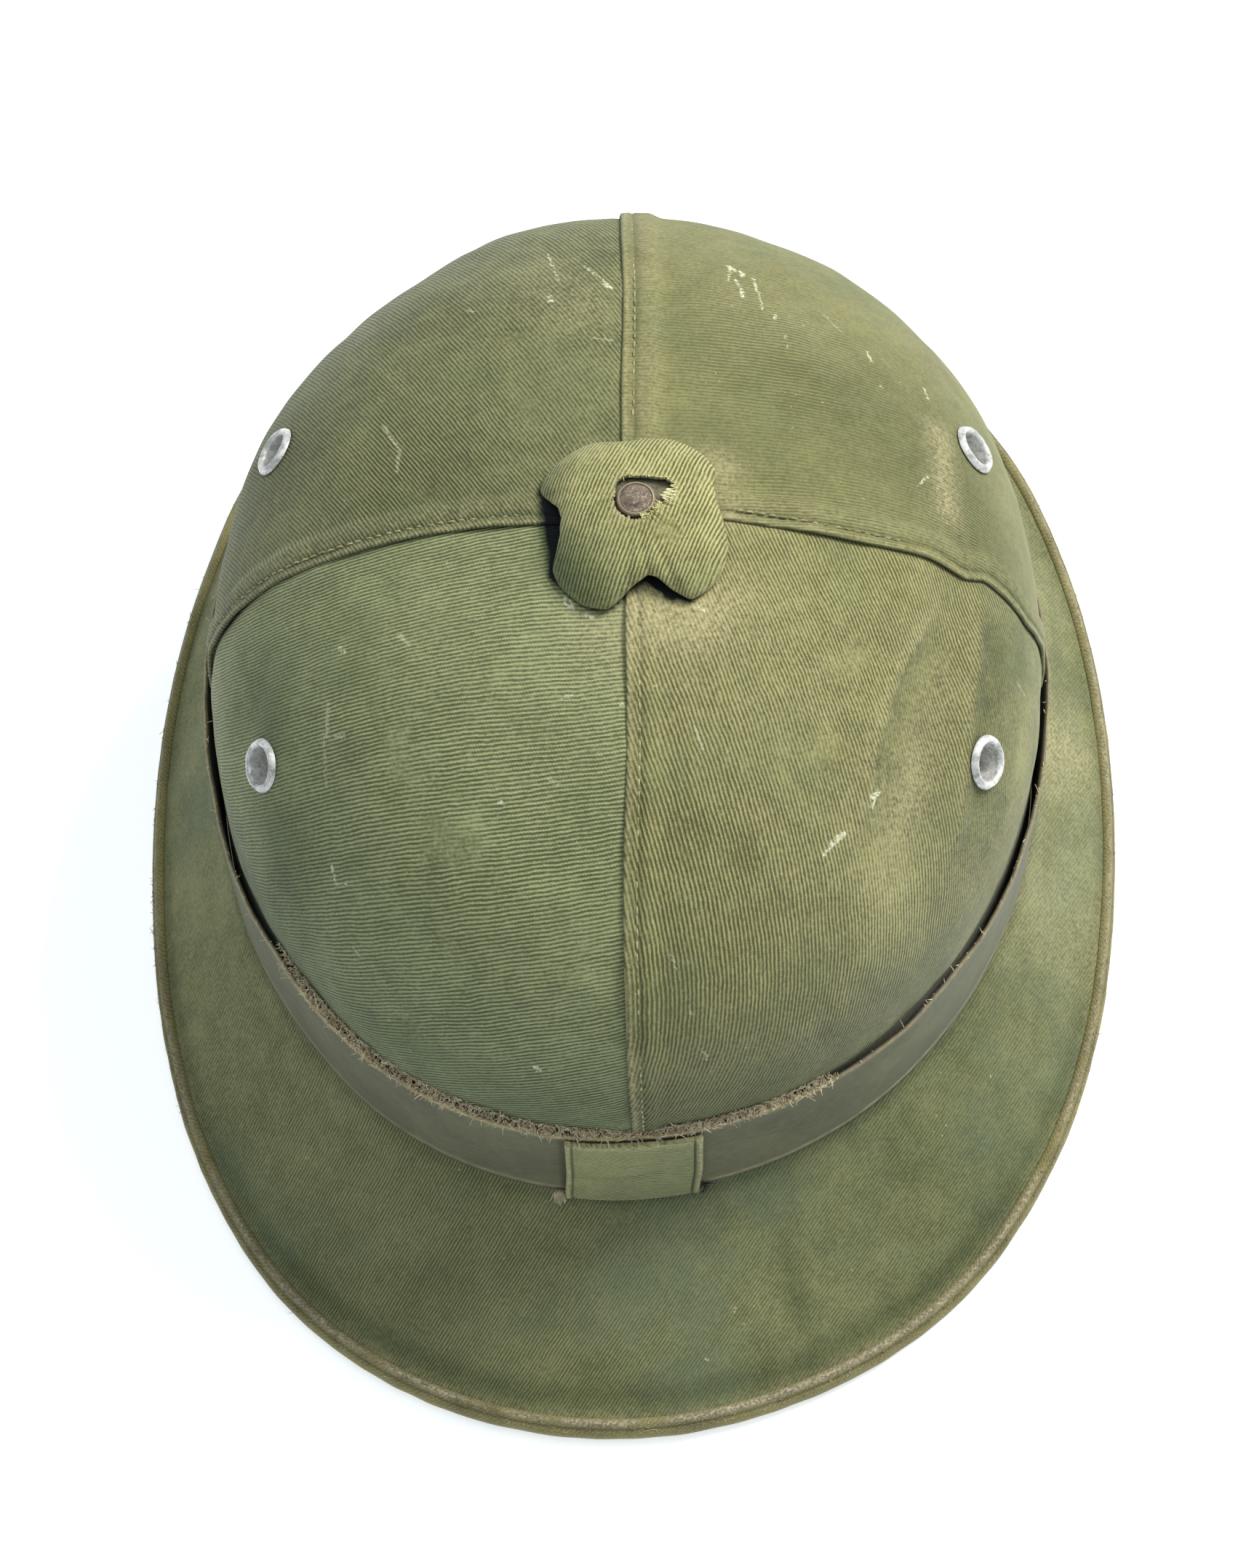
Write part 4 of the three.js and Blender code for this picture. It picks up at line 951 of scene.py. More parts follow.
deg = np.arange(AROUND) * 360 / AROUND - 180
zrow = np.concatenate([[BAND_TOP, BAND_TOP - .08, BAND_TOP - .25, BAND_TOP - .55, BAND_TOP - 1.1, BAND_TOP - 1.8], np.linspace(BAND_TOP - 2.8, BAND_FOOT + 1.4, 20), [BAND_FOOT + .8, BAND_FOOT + .3, BAND_FOOT]])
Z, D = np.meshgrid(zrow, deg, indexing="ij")
base = band_at(D, Z, 0)
along = D * 1.9
top_wave = 0.35 * np.sin(R(D) * 7 + 1) + 0.18 * waves(base * [1, 1, 0], 22, 71) + 0.06 * waves(base * [1, 1, 0], 3.0, 72)
lift = np.clip((Z - BAND_FOOT) / (BAND_TOP - BAND_FOOT), 0, 1)
dz_ = top_wave * lift ** 3
swell = (0.15 * waves(base, 30, 73) * lift + 0.05 * waves(base, 9, 74)) * smooth(Z, BAND_FOOT, BAND_FOOT + 3)
from_top = (BAND_TOP - Z)
nose = np.sqrt(np.clip(1 - ((0.5 - np.clip(from_top, 0, 0.5)) / 0.5) ** 2, 0, 1))
sew = 0.25 * bell(Z - (BAND_FOOT + 1.8), 0.6)
F = band_at(D, Z, BAND_THICK * (0.5 + 0.5 * nose) + swell - sew)
B = band_at(D, Z, BAND_THICK * (0.5 - 0.5 * nose) + swell)
F[..., 2] += dz_
B[..., 2] += dz_
arc_mm = np.concatenate([[0], np.cumsum(np.linalg.norm(np.diff(base[0], axis=0), axis=1))])
ARC = np.broadcast_to(arc_mm[None], Z.shape)
tw = np.stack([ARC, Z, np.zeros_like(Z)], -1)
edge_w = bell(from_top - 0.2, 0.9) * (0.65 + 0.35 * smooth(-D, -30, 20))
half_deg = math.degrees(TAB_HALF / (float(plan(CROWN, np.array(0.0))) + 4))
# channels: ragged pale top edge; painted shade at the band's foot and in the tab's shadow on its left; painted
# highlight along the rounded lower edge
st = np.stack([edge_w, bell(Z - BAND_FOOT, 0.7) + 0.75 * bell(wrap(D - TAB_DEG + half_deg * 1.04), 0.45), np.maximum(bell(Z - BAND_FOOT - 1.3, 0.8) * (0.6 + 0.4 * bell(wrap(D - 28), 26)), bell(Z - BAND_FOOT - 1.6, 1.3) * bell(wrap(D + 85), 50))], -1)
# the inner face is painted all in shade
inner_shade = np.stack([edge_w * 0.4, np.ones_like(Z), np.zeros_like(Z)], -1)
band = slab("hat_band_cloth", F, B, closed=True, attrs={"tw": tw, "st": (st, inner_shade)})
n = Net("band_cloth", rough=0.82, Sheen_Weight=0.1, Specular_IOR_Level=0.3)
P = n.pos()
a_, b_, _ = n.sep(n.attr("tw"))
w_, d_, hem_highlight = n.sep(n.attr("st"))
weave = n.math("MULTIPLY", n.math("SINE", n.math("MULTIPLY", a_, 2 * math.pi / 0.62)), n.math("SINE", n.math("MULTIPLY", b_, 2 * math.pi / 0.5)))
grain = n.noise(n.xyz(n.math("MULTIPLY", a_, 0.45), n.math("MULTIPLY", b_, 1.2), 0.0), 1.1, 3.0, 0.6)
h = n.math("ADD", n.math("MULTIPLY", weave, 0.25), n.math("MULTIPLY", grain, 1.0))
k = n.math("ADD", n.math("MULTIPLY", h, 0.55), n.math("MULTIPLY", n.noise(P, 20.0, 3.0, 0.6), 0.55))
col = n.mix(n.range(k, 0.3, 0.85), rgb(76, 77, 53), rgb(112, 111, 80))
# painted highlight along the band's rounded lower edge
col = n.mix(n.math("MULTIPLY", n.math("MULTIPLY", hem_highlight, n.noise(P, 3.0, 2.0)), 1.25, clamp=True), col, rgb(172, 162, 126))
# painted shade at the foot, beside the tab and on the inner face
col = n.mix(n.math("MULTIPLY", d_, 0.72), col, rgb(38, 34, 26))
rag = n.math("MULTIPLY", w_, n.math("MULTIPLY_ADD", n.noise(P, 1.2, 3.0, 0.7), 1.7, -0.05), clamp=True)
col = n.mix(n.math("MULTIPLY", rag, 0.85), col, n.mix(n.noise(P, 9.0, 2.0, 0.5, 0.4, 0.6), rgb(172, 156, 132), rgb(186, 172, 128)))
n.set(col, n.b.inputs["Base Color"])
n.set(n.bump(h, 0.12, 0.6), n.b.inputs["Normal"])
set_mat(band, n.mat, ["hat_band"])

# ---------------------------------------------------------------- front tab
half_deg = math.degrees(TAB_HALF / (float(plan(CROWN, np.array(0.0))) + 4))
u = np.concatenate([[-1, -.995, -.985, -.97, -.95, -.935, -.92, -.91, -.90, -.89, -.88, -.86, -.82], np.linspace(-.78, .76, 46), [.80, .83, .85, .865, .875, .885, .9, .92, .94, .955, .97, .985, .995, 1]])
zz = np.concatenate([[TAB_HEAD, TAB_HEAD - .12, TAB_HEAD - .35, TAB_HEAD - .7], np.linspace(TAB_HEAD - 1.2, TAB_FOOT + 1.2, 44), [TAB_FOOT + .6, TAB_FOOT + .2, TAB_FOOT]])
Z, U = np.meshgrid(zz, u, indexing="ij")
D = TAB_DEG + U * half_deg * (1 - 0.035 * smooth(Z, 45, TAB_FOOT) * np.sign(U) * np.where(U > 0, 1.6, 1))
low_z = np.maximum(Z, BAND_FOOT)
prof = 0.30 * smooth(-U, .90, .94) * (1 - smooth(-U, .98, 1.0)) - 0.35 * bell(U + .90, .014) - 0.62 * bell(U - .875, .016) + 0.32 * bell(U - .95, .03)
prof = prof + 0.5 * np.exp(-((U + .1) / .55) ** 2) * np.exp(-((Z - 47) / 13) ** 2) + 0.10 * np.sin(Z / 3.0 + 2 * U) * bell(U, .6) - 0.22 * bell(Z - 46 - 3 * U, 1.4) * bell(U, .5)
edge_d = np.minimum(1 - np.abs(U), 0.03) / 0.03
edge_z = np.minimum(np.minimum(TAB_HEAD - Z, Z - TAB_FOOT) / 0.7, 1)
rnd = np.sqrt(np.clip(1 - (1 - np.minimum(edge_d, edge_z)) ** 2, 0, 1))
lift = 0.45 + BAND_THICK
F = band_at(D, low_z, lift + TAB_THICK * (0.45 + 0.55 * rnd) + prof * rnd)
B = band_at(D, low_z, lift + 0.35 * (1 - rnd))
wavy = 0.22 * np.sin(U * 5 + 1) * smooth(Z, 58, TAB_HEAD)
F[..., 2] = Z + wavy
B[..., 2] = Z + wavy
xm = U * TAB_HALF
tw = np.stack([0.42 * xm + 0.9 * Z + 2.6 * bell(Z - 63, 9) * np.cos(U * 2.2), 0.9 * xm - 0.42 * Z, np.maximum(smooth(np.abs(U), .84, .9), 0)], -1)
st = np.zeros(Z.shape + (3,))
st[..., 0] = 0.75 * bell(U + .955, .03) + 0.7 * bell(U - .955, .03) + 0.7 * bell(Z - TAB_HEAD + .6, 1.6) + 0.25 * bell(Z - TAB_FOOT, 1.0)
# painted shade in the grooves beside the folded edges and along the crease
st[..., 1] = 1.0 * bell(U - .875, .02) + 0.8 * bell(U + .90, .02) + 0.25 * bell(Z - 46 - 3 * U, 1.2)
tab = slab("front_tab_cloth", F, B, attrs={"tw": tw, "st": np.clip(st, 0, 1)})
set_mat(tab, twill("twill_tab", (95, 99, 63), (156, 158, 108), rib=0.87, relief=0.13), ["front_tab"])


# ---------------------------------------------------------------- ventilator cap
def crown_height(x, y):
    d = np.degrees(np.arctan2(x - TOP_SHIFT, -y))
    want = np.hypot(x - TOP_SHIFT, y)
    lo, hi = np.zeros_like(want), np.full_like(want, 89.99)
    for _ in range(36):
        mid = (lo + hi) / 2
        p = crown(d, mid)
        r = plan(CROWN, d) * np.cos(R(mid)) ** (2 / power(d))
        lo, hi = np.where(r > want, mid, lo), np.where(r > want, hi, mid)
    return crown(d, lo)[..., 2]


def cap_z(deg, out, inset=0.0):
    dx, dy = np.sin(R(deg)), -np.cos(R(deg))
    e = cap_r(deg) - inset
    edge = crown_height(CAP_X + dx * e, CAP_Y + dy * e) + CAP_FOOT + cap_lift(deg)
    drop = 0.66 * out ** 1.9 + 0.34 * out ** 10
    return CAP_TOP - inset - (CAP_TOP - inset - edge) * drop


# outline of the tear round the rivet, by plan angle: deg, radius from the cap's middle
TEAR = np.array([(-180, 6.0), (-161, 6.2), (-144, 5.9), (-125, 4.8), (-110, 4.35), (-90, 4.2), (-60, 4.15), (-33, 4.3), (0, 4.6), (28, 4.7), (53, 4.9),
                 (76, 5.8), (90, 6.8), (100, 8.4), (107, 9.1), (119, 9.8), (125, 9.1), (142, 7.2), (166, 6.1), (180, 6.0)])
TEAR = TEAR[np.argsort(TEAR[:, 0])]
NA, NR = 300, 52
deg = np.arange(NA) * 360 / NA - 180
tear = np.interp(deg, TEAR[:, 0], TEAR[:, 1], period=360)
g = np.random.default_rng(81)
jag = g.normal(0, 1, NA)
jag = (np.roll(jag, 1) + 2 * jag + np.roll(jag, -1)) / 4
tear_r = tear + (0.10 + 0.16 * bell(wrap(deg - 60), 50)) * jag + (0.05 + 0.2 * bell(wrap(deg - 62), 34)) * np.sin(R(deg) * 43)
f = np.linspace(0, 1, NR) ** 0.85
edge_r = cap_r(deg) + 0.15 * np.sin(R(deg) * 9 + 1)
rr = tear_r[None] + (edge_r - tear_r)[None] * f[:, None]
D = np.broadcast_to(deg, rr.shape)


def cap_surface(d, r):
    out = np.clip(r / cap_r(d), 0, 1)
    z = cap_z(d, out)
    x, y = CAP_X + np.sin(R(d)) * r, CAP_Y - np.cos(R(d)) * r
    return np.stack([x, y, z], -1)


S = cap_surface(D, rr)
N = unit(np.cross(cap_surface(D, np.minimum(rr + .2, cap_r(D))) - cap_surface(D, rr - .2), cap_surface(D + .6, rr) - cap_surface(D - .6, rr)))
N[N[..., 2] < 0] *= -1
to_edge = (edge_r - tear_r)[None] * (1 - f[:, None])
to_tear = (edge_r - tear_r)[None] * f[:, None]
rnd = np.sqrt(np.clip(1 - (1 - np.clip(to_edge / 0.7, 0, 1)) ** 2, 0, 1))
curl = 0.45 * bell(to_tear, 1.6) * (0.35 + 0.65 * smooth(np.cos(R(D - 100)), 0.1, 0.9)) * (1 + 0.35 * jag[None])
puff = 0.10 * waves(S, 16, 82) + 0.04 * waves(S, 5, 83)
F = S + N * (puff + curl - 0.5 * CAP_THICK * (1 - rnd))[..., None]
B = S + N * (puff + curl * 0.9 - CAP_THICK + 0.45 * CAP_THICK * (1 - rnd) + 0.4 * bell(to_tear, .5))[..., None]
RIB_CAP = 69.0
c, sn = math.cos(R(RIB_CAP)), math.sin(R(RIB_CAP))
ex = S[..., 0] * 1.0
ey = S[..., 1] * 1.0
grow = 1 + 0.10 * (rr / 22) ** 2
ax_, ay_ = (ex - CAP_X) * grow, (ey - CAP_Y) * grow
tw = np.stack([ax_ * sn - ay_ * c, ax_ * c + ay_ * sn, 0.55 * bell(to_edge, 1.2) + 0.6 * bell(to_tear, 1.0)], -1)
st = np.zeros(S.shape)
st[..., 0] = 0.55 * bell(to_tear, 1.1) + 0.25 * bell(to_edge, .8)
st[..., 1] = 0.95 * bell(wrap(D + 42), 40) * smooth(rr, 8, 21) + 0.35 * bell(wrap(D + 100), 50) * smooth(rr, 12, 20) + 0.4 * bell(wrap(D - 45), 22) * smooth(rr, 14, 22)
st[..., 2] = 0.35 * smooth(rr, 12, 6) + 0.5 * bell(wrap(D + 140), 40) * smooth(rr, 8, 16)
cap = slab("vent_cap_cloth", F, B, closed=True, attrs={"tw": tw, "st": np.clip(st, 0, 1)})
set_mat(cap, twill("twill_cap", (97, 96, 57), (194, 190, 132), rib=0.865, relief=0.2, patchy=0.8, deep=(0.26, 0.38, 0.36, 1.0)), ["vent_cap"])

# cap core: a stiff disc under the cloth
inset = CAP_THICK + 0.45
deg_c = np.arange(160) * 2.25 - 180
fr = np.linspace(0, 1, 22)
e = cap_r(deg_c) - inset
rc = 2.7 + (e - 2.7)[None] * fr[:, None]
Dc = np.broadcast_to(deg_c, rc.shape)
zc = cap_z(Dc, np.clip(rc / e[None], 0, 1), inset)
zb = cap_z(Dc, np.clip(rc / e[None], 0, 1), inset + 1.5)
xc, yc = CAP_X + np.sin(R(Dc)) * rc, CAP_Y - np.cos(R(Dc)) * rc
F = np.stack([xc, yc, zc], -1)
F[..., 2] += 0.06 * waves(F, 5, 91) * smooth(rc, 3, 5)
B = np.stack([CAP_X + np.sin(R(Dc)) * (rc - 0.6 * fr[:, None]), CAP_Y - np.cos(R(Dc)) * (rc - 0.6 * fr[:, None]), zb], -1)
core = slab("cap_core_disc", F, B, closed=True)
n = Net("core_fibre", rough=0.85, Specular_IOR_Level=0.3)
P = n.pos()
h = n.math("ADD", n.noise(P, 0.5, 4.0, 0.7), n.math("MULTIPLY", n.noise(P, 3.0, 2.0), 0.6))
n.set(n.mix(n.range(h, 0.6, 1.05), rgb(84, 80, 64), rgb(126, 120, 98)), n.b.inputs["Base Color"])
n.set(n.bump(h, 0.15, 0.6), n.b.inputs["Normal"])
set_mat(core, n.mat, ["cap_core"])


# ---------------------------------------------------------------- turned pieces
def lathe(name, profile, around, p, axis, rough=0.0, seed=0, flat_at=None):
    """A closed ring or solid turned round an axis through p. profile: rows of (radius, height along the axis)."""
    axis = unit(np.asarray(axis, float))
    side = unit(np.cross(axis, [0, 1, 0.1]))
    up = np.cross(axis, side)
    prof = np.asarray(profile, float)
    th = np.arange(around) * 2 * np.pi / around
    k = len(prof)
    V = (np.asarray(p) + prof[:, None, 1:2] * axis + prof[:, None, 0:1] * (np.cos(th)[None, :, None] * side + np.sin(th)[None, :, None] * up))
    if rough:
        bump_ = rough * (waves(V, 1.6, seed) * 0.6 + waves(V, 4.0, seed + 1))
        rad_dir = unit(V - (np.asarray(p) + prof[:, None, 1:2] * axis) + 1e-9)
        V = V + (0.6 * rad_dir + 0.6 * axis) * bump_[..., None]
    idx = np.arange(k * around).reshape(k, around)
    j2 = (np.arange(around) + 1) % around
    if prof[0, 0] == prof[-1, 0] and prof[0, 1] == prof[-1, 1]:
        idx = idx[:-1]
        k2 = (np.arange(k - 1) + 1) % (k - 1)
        faces = np.stack([idx, idx[:, j2], idx[k2][:, j2], idx[k2]], -1).reshape(-1, 4)
        return make(name, V[:-1].reshape(-1, 3), [faces], 40)
    faces = [np.stack([idx[:-1], idx[:-1][:, j2], idx[1:][:, j2], idx[1:]], -1).reshape(-1, 4), idx[0, ::-1][None], idx[-1][None]]
    return make(name, V.reshape(-1, 3), faces, 40)


def rounded(points, radius, steps=5):
    """Closed profile with its corners rounded. points: rows of (radius, height, corner share)."""
    pts = np.asarray([p[:2] for p in points], float)
    out = []
    m_ = len(pts)
    for i in range(m_):
        a, b, c = pts[i - 1], pts[i], pts[(i + 1) % m_]
        rr_ = min(points[i][2] * radius, 0.49 * np.linalg.norm(a - b), 0.49 * np.linalg.norm(c - b))
        p0, p2 = b + unit(a - b) * rr_, b + unit(c - b) * rr_
        for s_ in np.linspace(0, 1, steps):
            out.append((1 - s_) ** 2 * p0 + 2 * s_ * (1 - s_) * b + s_ ** 2 * p2)
    out.append(out[0])
    return np.array(out)


def metal(name, dark, light, rough, spots, metallic=0.75, scale=1.0):
    n = Net(name, rough=rough, Metallic=metallic)
    P = n.pos()
    big = n.noise(P, 2.6 * scale, 3.0, 0.6)
    small = n.noise(P, 0.45 * scale, 4.0, 0.7)
    k = n.math("ADD", n.math("MULTIPLY", big, 0.6), n.math("MULTIPLY", small, 0.55))
    col = n.mix(n.range(k, 0.38, 0.75), rgb(*dark), rgb(*light))
    col = n.mix(n.math("MULTIPLY", n.noise(P, 0.9 * scale, 2.0, 0.6, 0.56, 0.66), 0.6), col, rgb(*spots))
    n.set(col, n.b.inputs["Base Color"])
    n.set(n.range(k, 0.35, 0.8, rough + 0.18, rough - 0.12), n.b.inputs["Roughness"])
    n.set(n.bump(k, 0.12, 0.7), n.b.inputs["Normal"])
    return n


depth = CLOTH + GAP + SHELL
eye = metal("eyelet_metal", (168, 168, 164), (240, 240, 237), 0.45, (132, 124, 110), 0.4)
for i, (nm, p, ax) in enumerate(SEATS):
    prof = rounded([(EY_HOLE, -depth - 3.1, .6), (EY_BACK, -depth - 3.1, 1), (EY_BACK, -depth - 2.4, .5), (EY_BARREL, -depth - 2.4, .3),
                    (EY_BARREL, 0.3, .3), (EY_FLANGE, 0.2, .4), (EY_FLANGE - 0.35, 1.0, 1), ((EY_HOLE + EY_FLANGE) / 2, 1.75, 2), (EY_HOLE + .15, 1.0, 1.4)], 0.6)
    obj = lathe(nm + "_ring", prof[::-1], 72, p, ax, 0.035, 100 + i)
    set_mat(obj, eye.mat, [nm])

core_top = CAP_TOP - CAP_THICK - 0.45
inside = CROWN_TOP - CLOTH - GAP - SHELL
prof = [(0.4, inside - 1.4), (5.6, inside - 1.4), (6.1, inside - 1.3), (6.3, inside - .9), (6.1, inside - .45), (5.6, inside - .4), (1.6, inside - .4),
        (1.6, core_top + .3), (3.9, core_top + .3), (4.05, core_top + .45), (4.12, core_top + .8), (4.1, core_top + 1.2), (3.98, core_top + 1.5), (3.8, core_top + 1.66),
        (3.62, core_top + 1.7), (3.5, core_top + 1.62), (3.4, core_top + 1.56), (3.1, core_top + 1.62), (2.5, core_top + 1.74), (1.6, core_top + 1.86), (.8, core_top + 1.92), (.15, core_top + 1.94)]
rivet = lathe("cap_rivet_head", prof, 72, (RIVET_X, RIVET_Y, 0), (0, 0, 1), 0.03, 120)
steel = metal("rivet_steel", (80, 70, 60), (146, 130, 112), 0.6, (178, 160, 138), 0.35, 0.8)
x, y, z = steel.sep(steel.pos())
rad_ = steel.vec("LENGTH", steel.xyz(steel.math("SUBTRACT", x, RIVET_X - CENTRE[0]), steel.math("SUBTRACT", y, RIVET_Y - CENTRE[1])), out=1)
base_link = steel.b.inputs["Base Color"].links[0].from_socket
rimmed = steel.mix(steel.math("MULTIPLY", steel.range(rad_, 3.42, 3.62), 0.75), base_link, rgb(176, 160, 130))
rimmed = steel.mix(steel.math("MULTIPLY", steel.math("MULTIPLY", steel.range(rad_, 3.2, 3.4), steel.range(rad_, 3.6, 3.45)), 0.7), rimmed, rgb(60, 48, 40))
steel.set(rimmed, steel.b.inputs["Base Color"])
set_mat(rivet, steel.mat, ["cap_rivet"])

# ---------------------------------------------------------------- shell
v = np.concatenate([np.linspace(3.6, 12, 6)[:-1], np.arange(12, V_BAND - 1, 2.3), [V_BAND]])
SA = 300
deg = np.arange(SA) * 360 / SA - 180
V, D = np.meshgrid(v, deg, indexing="ij")
top = surf(D, V)
N = normal(surf, D, V)
top = top - N * dents(top)[..., None]
kr, kz = brim_section(deg)
lowz = np.linspace(BAND_TOP - 3, BAND_FOOT + 1.5, 12)
lr = np.stack([wall_point(deg, zz_) * np.ones(SA) for zz_ in lowz] + list(kr[2:-1]))
lz = np.stack([np.full(SA, zz_) for zz_ in lowz] + list(kz[2:-1]))
tipr = (plan(RIM, deg) - BEAD_R + 0.7)
lr, lz = np.vstack([lr, tipr[None]]), np.vstack([lz, np.full((1, SA), BEAD_LIFT + 1.45)])
Dl = np.broadcast_to(deg, lr.shape)
low = np.stack([np.sin(R(Dl)) * lr, -np.cos(R(Dl)) * lr, lz], -1)
S = np.concatenate([top, low])
rall = np.hypot(S[..., 0], S[..., 1])
dr, dz = np.gradient(rall, axis=0), np.gradient(S[..., 2], axis=0)
ln = np.maximum(np.hypot(dr, dz), 1e-6)
Dall = np.broadcast_to(deg, rall.shape)
Nall = np.stack([np.sin(R(Dall)) * -dz / ln, -np.cos(R(Dall)) * -dz / ln, dr / ln], -1)
Nall[:len(v)] = N
out_share = np.clip((rall - plan(CROWN, deg)[None]) / (tipr - plan(CROWN, deg))[None], 0, 1) * (S[..., 2] < BAND_FOOT)
thick = SHELL + (SHELL_EDGE - SHELL) * out_share
F = S - Nall * (CLOTH + GAP)
B = S - Nall * (CLOTH + GAP + thick)[..., None] + Nall * (0.05 * waves(S, 6, 131))[..., None]
B[..., 2] = np.maximum(B[..., 2], 0.25)
keep = punch(F, B, [(p, ax) for _, p, ax in SEATS], 5.2, closed=True)
shell = slab("shell_body", F, B, keep, closed=True)
n = Net("pressed_shell", rough=0.92, Specular_IOR_Level=0.2)
P = n.pos()
fibre = n.noise(P, 0.8, 5.0, 0.72)
felt = n.noise(n.vec("MULTIPLY", P, (1.0, 0.25, 1.0)), 2.2, 3.0, 0.6)
k = n.math("ADD", n.math("MULTIPLY", fibre, 0.55), n.math("MULTIPLY", felt, 0.5))
col = n.mix(n.range(k, 0.36, 0.68), rgb(98, 78, 52), rgb(166, 142, 104))
col = n.mix(n.math("MULTIPLY", n.noise(P, 30.0, 3.0, 0.6, 0.5, 0.7), 0.5), col, rgb(92, 72, 50))
n.set(col, n.b.inputs["Base Color"])
n.set(n.bump(k, 0.35, 0.7), n.b.inputs["Normal"])
set_mat(shell, n.mat, ["shell"])

# ---------------------------------------------------------------- loose fibres
g = np.random.default_rng(141)


def hairs(p, d, length, spread, k=5, curl=0.45):
    """Curled fibres from points p, leaving along d."""
    n_ = len(p)
    t_ = np.linspace(0, 1, k)[None, :, None]
    d = unit(d + g.normal(0, spread, (n_, 3)))
    bend = g.normal(0, curl, (n_, 1, 3))
    L = length[:, None, None]
    return p[:, None] + d[:, None] * t_ * L + bend * (t_ ** 2) * L


# along the band's top edge, thickest at the front left
nb = 2700
d_ = np.where(g.random(nb) < 0.93, g.uniform(-48, 26, nb), g.uniform(-180, 180, nb))
top_z = BAND_TOP + 0.35 * np.sin(R(d_) * 7 + 1)
p_ = band_at(d_, np.full(nb, BAND_TOP), BAND_THICK * g.uniform(0.1, 1.0, nb))
p_[:, 2] = top_z - g.uniform(0.0, 0.5, nb)
tang = np.stack([np.cos(R(d_)), np.sin(R(d_)), np.zeros(nb)], -1)
out_ = np.stack([np.sin(R(d_)), -np.cos(R(d_)), np.zeros(nb)], -1)
front_ = (np.abs(wrap(d_ + 11)) < 38)
side_ = np.where(g.random(nb) < 0.72, -1.25, 0.45)  # most lean in over the gap
dirs_ = 0.5 * tang * np.sign(g.normal(size=nb))[:, None] + (side_ * np.where(front_, 1.0, 0.4))[:, None] * out_ + np.array([0, 0, 0.7])
long_ = g.uniform(0.5, 1.7, nb) * np.where(g.random(nb) < 0.06, 1.7, 1.0)
fray = tubes("band_edge_threads", hairs(p_, dirs_, long_, 0.3), g.uniform(0.06, 0.13, nb), 4)
# and the same fluff caught on the crown's cloth just above it
nc = 2000
d_ = g.uniform(-50, 24, nc)
vv_ = V_BAND - 0.2 - g.random(nc) ** 1.4 * (1.1 + 0.9 * bell(wrap(d_ + 22), 26))
p_ = surf(d_, vv_)
n_out = normal(surf, d_, vv_)
p_ = p_ + n_out * (0.12 - dents(p_))[:, None]
tang = np.stack([np.cos(R(d_)), np.sin(R(d_)), np.zeros(nc)], -1)
dirs_ = 0.45 * tang * np.sign(g.normal(size=nc))[:, None] + 0.5 * n_out + np.array([0, 0, 0.6])
fluff = tubes("crown_edge_threads", hairs(p_, dirs_, g.uniform(0.4, 1.5, nc), 0.3, 4), g.uniform(0.05, 0.11, nc), 4)
set_mat(fluff, thread_mat("fluff_thread", (212, 190, 148), (255, 245, 214), 1.6))
set_mat(fray, thread_mat("fray_thread", (198, 176, 134), (255, 243, 208), 1.6))

# along the rolled rim's ridge
nr_ = 1500
d_ = np.where(g.random(nr_) < 0.6, g.uniform(-80, 70, nr_), g.uniform(-180, 180, nr_))
jj = ((d_ + 180) / 360 * AROUND).astype(int) % AROUND
row = g.integers(3, 13, nr_)
p_ = ring[row, jj]
tang = np.stack([np.cos(R(d_)), np.sin(R(d_)), np.zeros(nr_)], -1)
dirs_ = tang * np.sign(g.normal(size=nr_))[:, None] + np.array([0, 0, 0.25])
fuzz = tubes("rim_threads", hairs(p_, dirs_, g.uniform(0.4, 1.3, nr_), 0.22, 4), g.uniform(0.05, 0.1, nr_), 4)
set_mat(fuzz, thread_mat("rim_thread", (128, 118, 90), (194, 182, 150), 6.0))

# round the tear in the cap
nt = 120
d_ = np.concatenate([g.uniform(20, 88, 62), g.uniform(-180, 180, 58)])
j_ = ((d_ + 180) / 360 * NA).astype(int) % NA
lift_ = np.array([0, 0, 0.1]) + np.array([0, 0, 0.35]) * (np.cos(R(d_ - 100)) > 0.2)[:, None]
p_ = cap_surface(d_, tear_r[j_] + g.uniform(0.0, 0.5, nt)) + lift_
inward = -np.stack([np.sin(R(d_)), -np.cos(R(d_)), np.zeros(nt)], -1)
rib_dir = np.array([math.cos(R(RIB_CAP)), math.sin(R(RIB_CAP)), 0])
dirs_ = inward * 0.9 + rib_dir * np.sign(g.normal(size=nt))[:, None] * 0.35 + np.array([0, 0, -0.1])
torn = tubes("cap_tear_threads", hairs(p_, dirs_, np.where(np.arange(nt) < 62, g.uniform(0.6, 1.4, nt), g.uniform(0.25, 0.6, nt)), 0.22), g.uniform(0.07, 0.15, nt), 5)
set_mat(torn, thread_mat("torn_thread", (176, 170, 108), (240, 234, 178), 3.0))
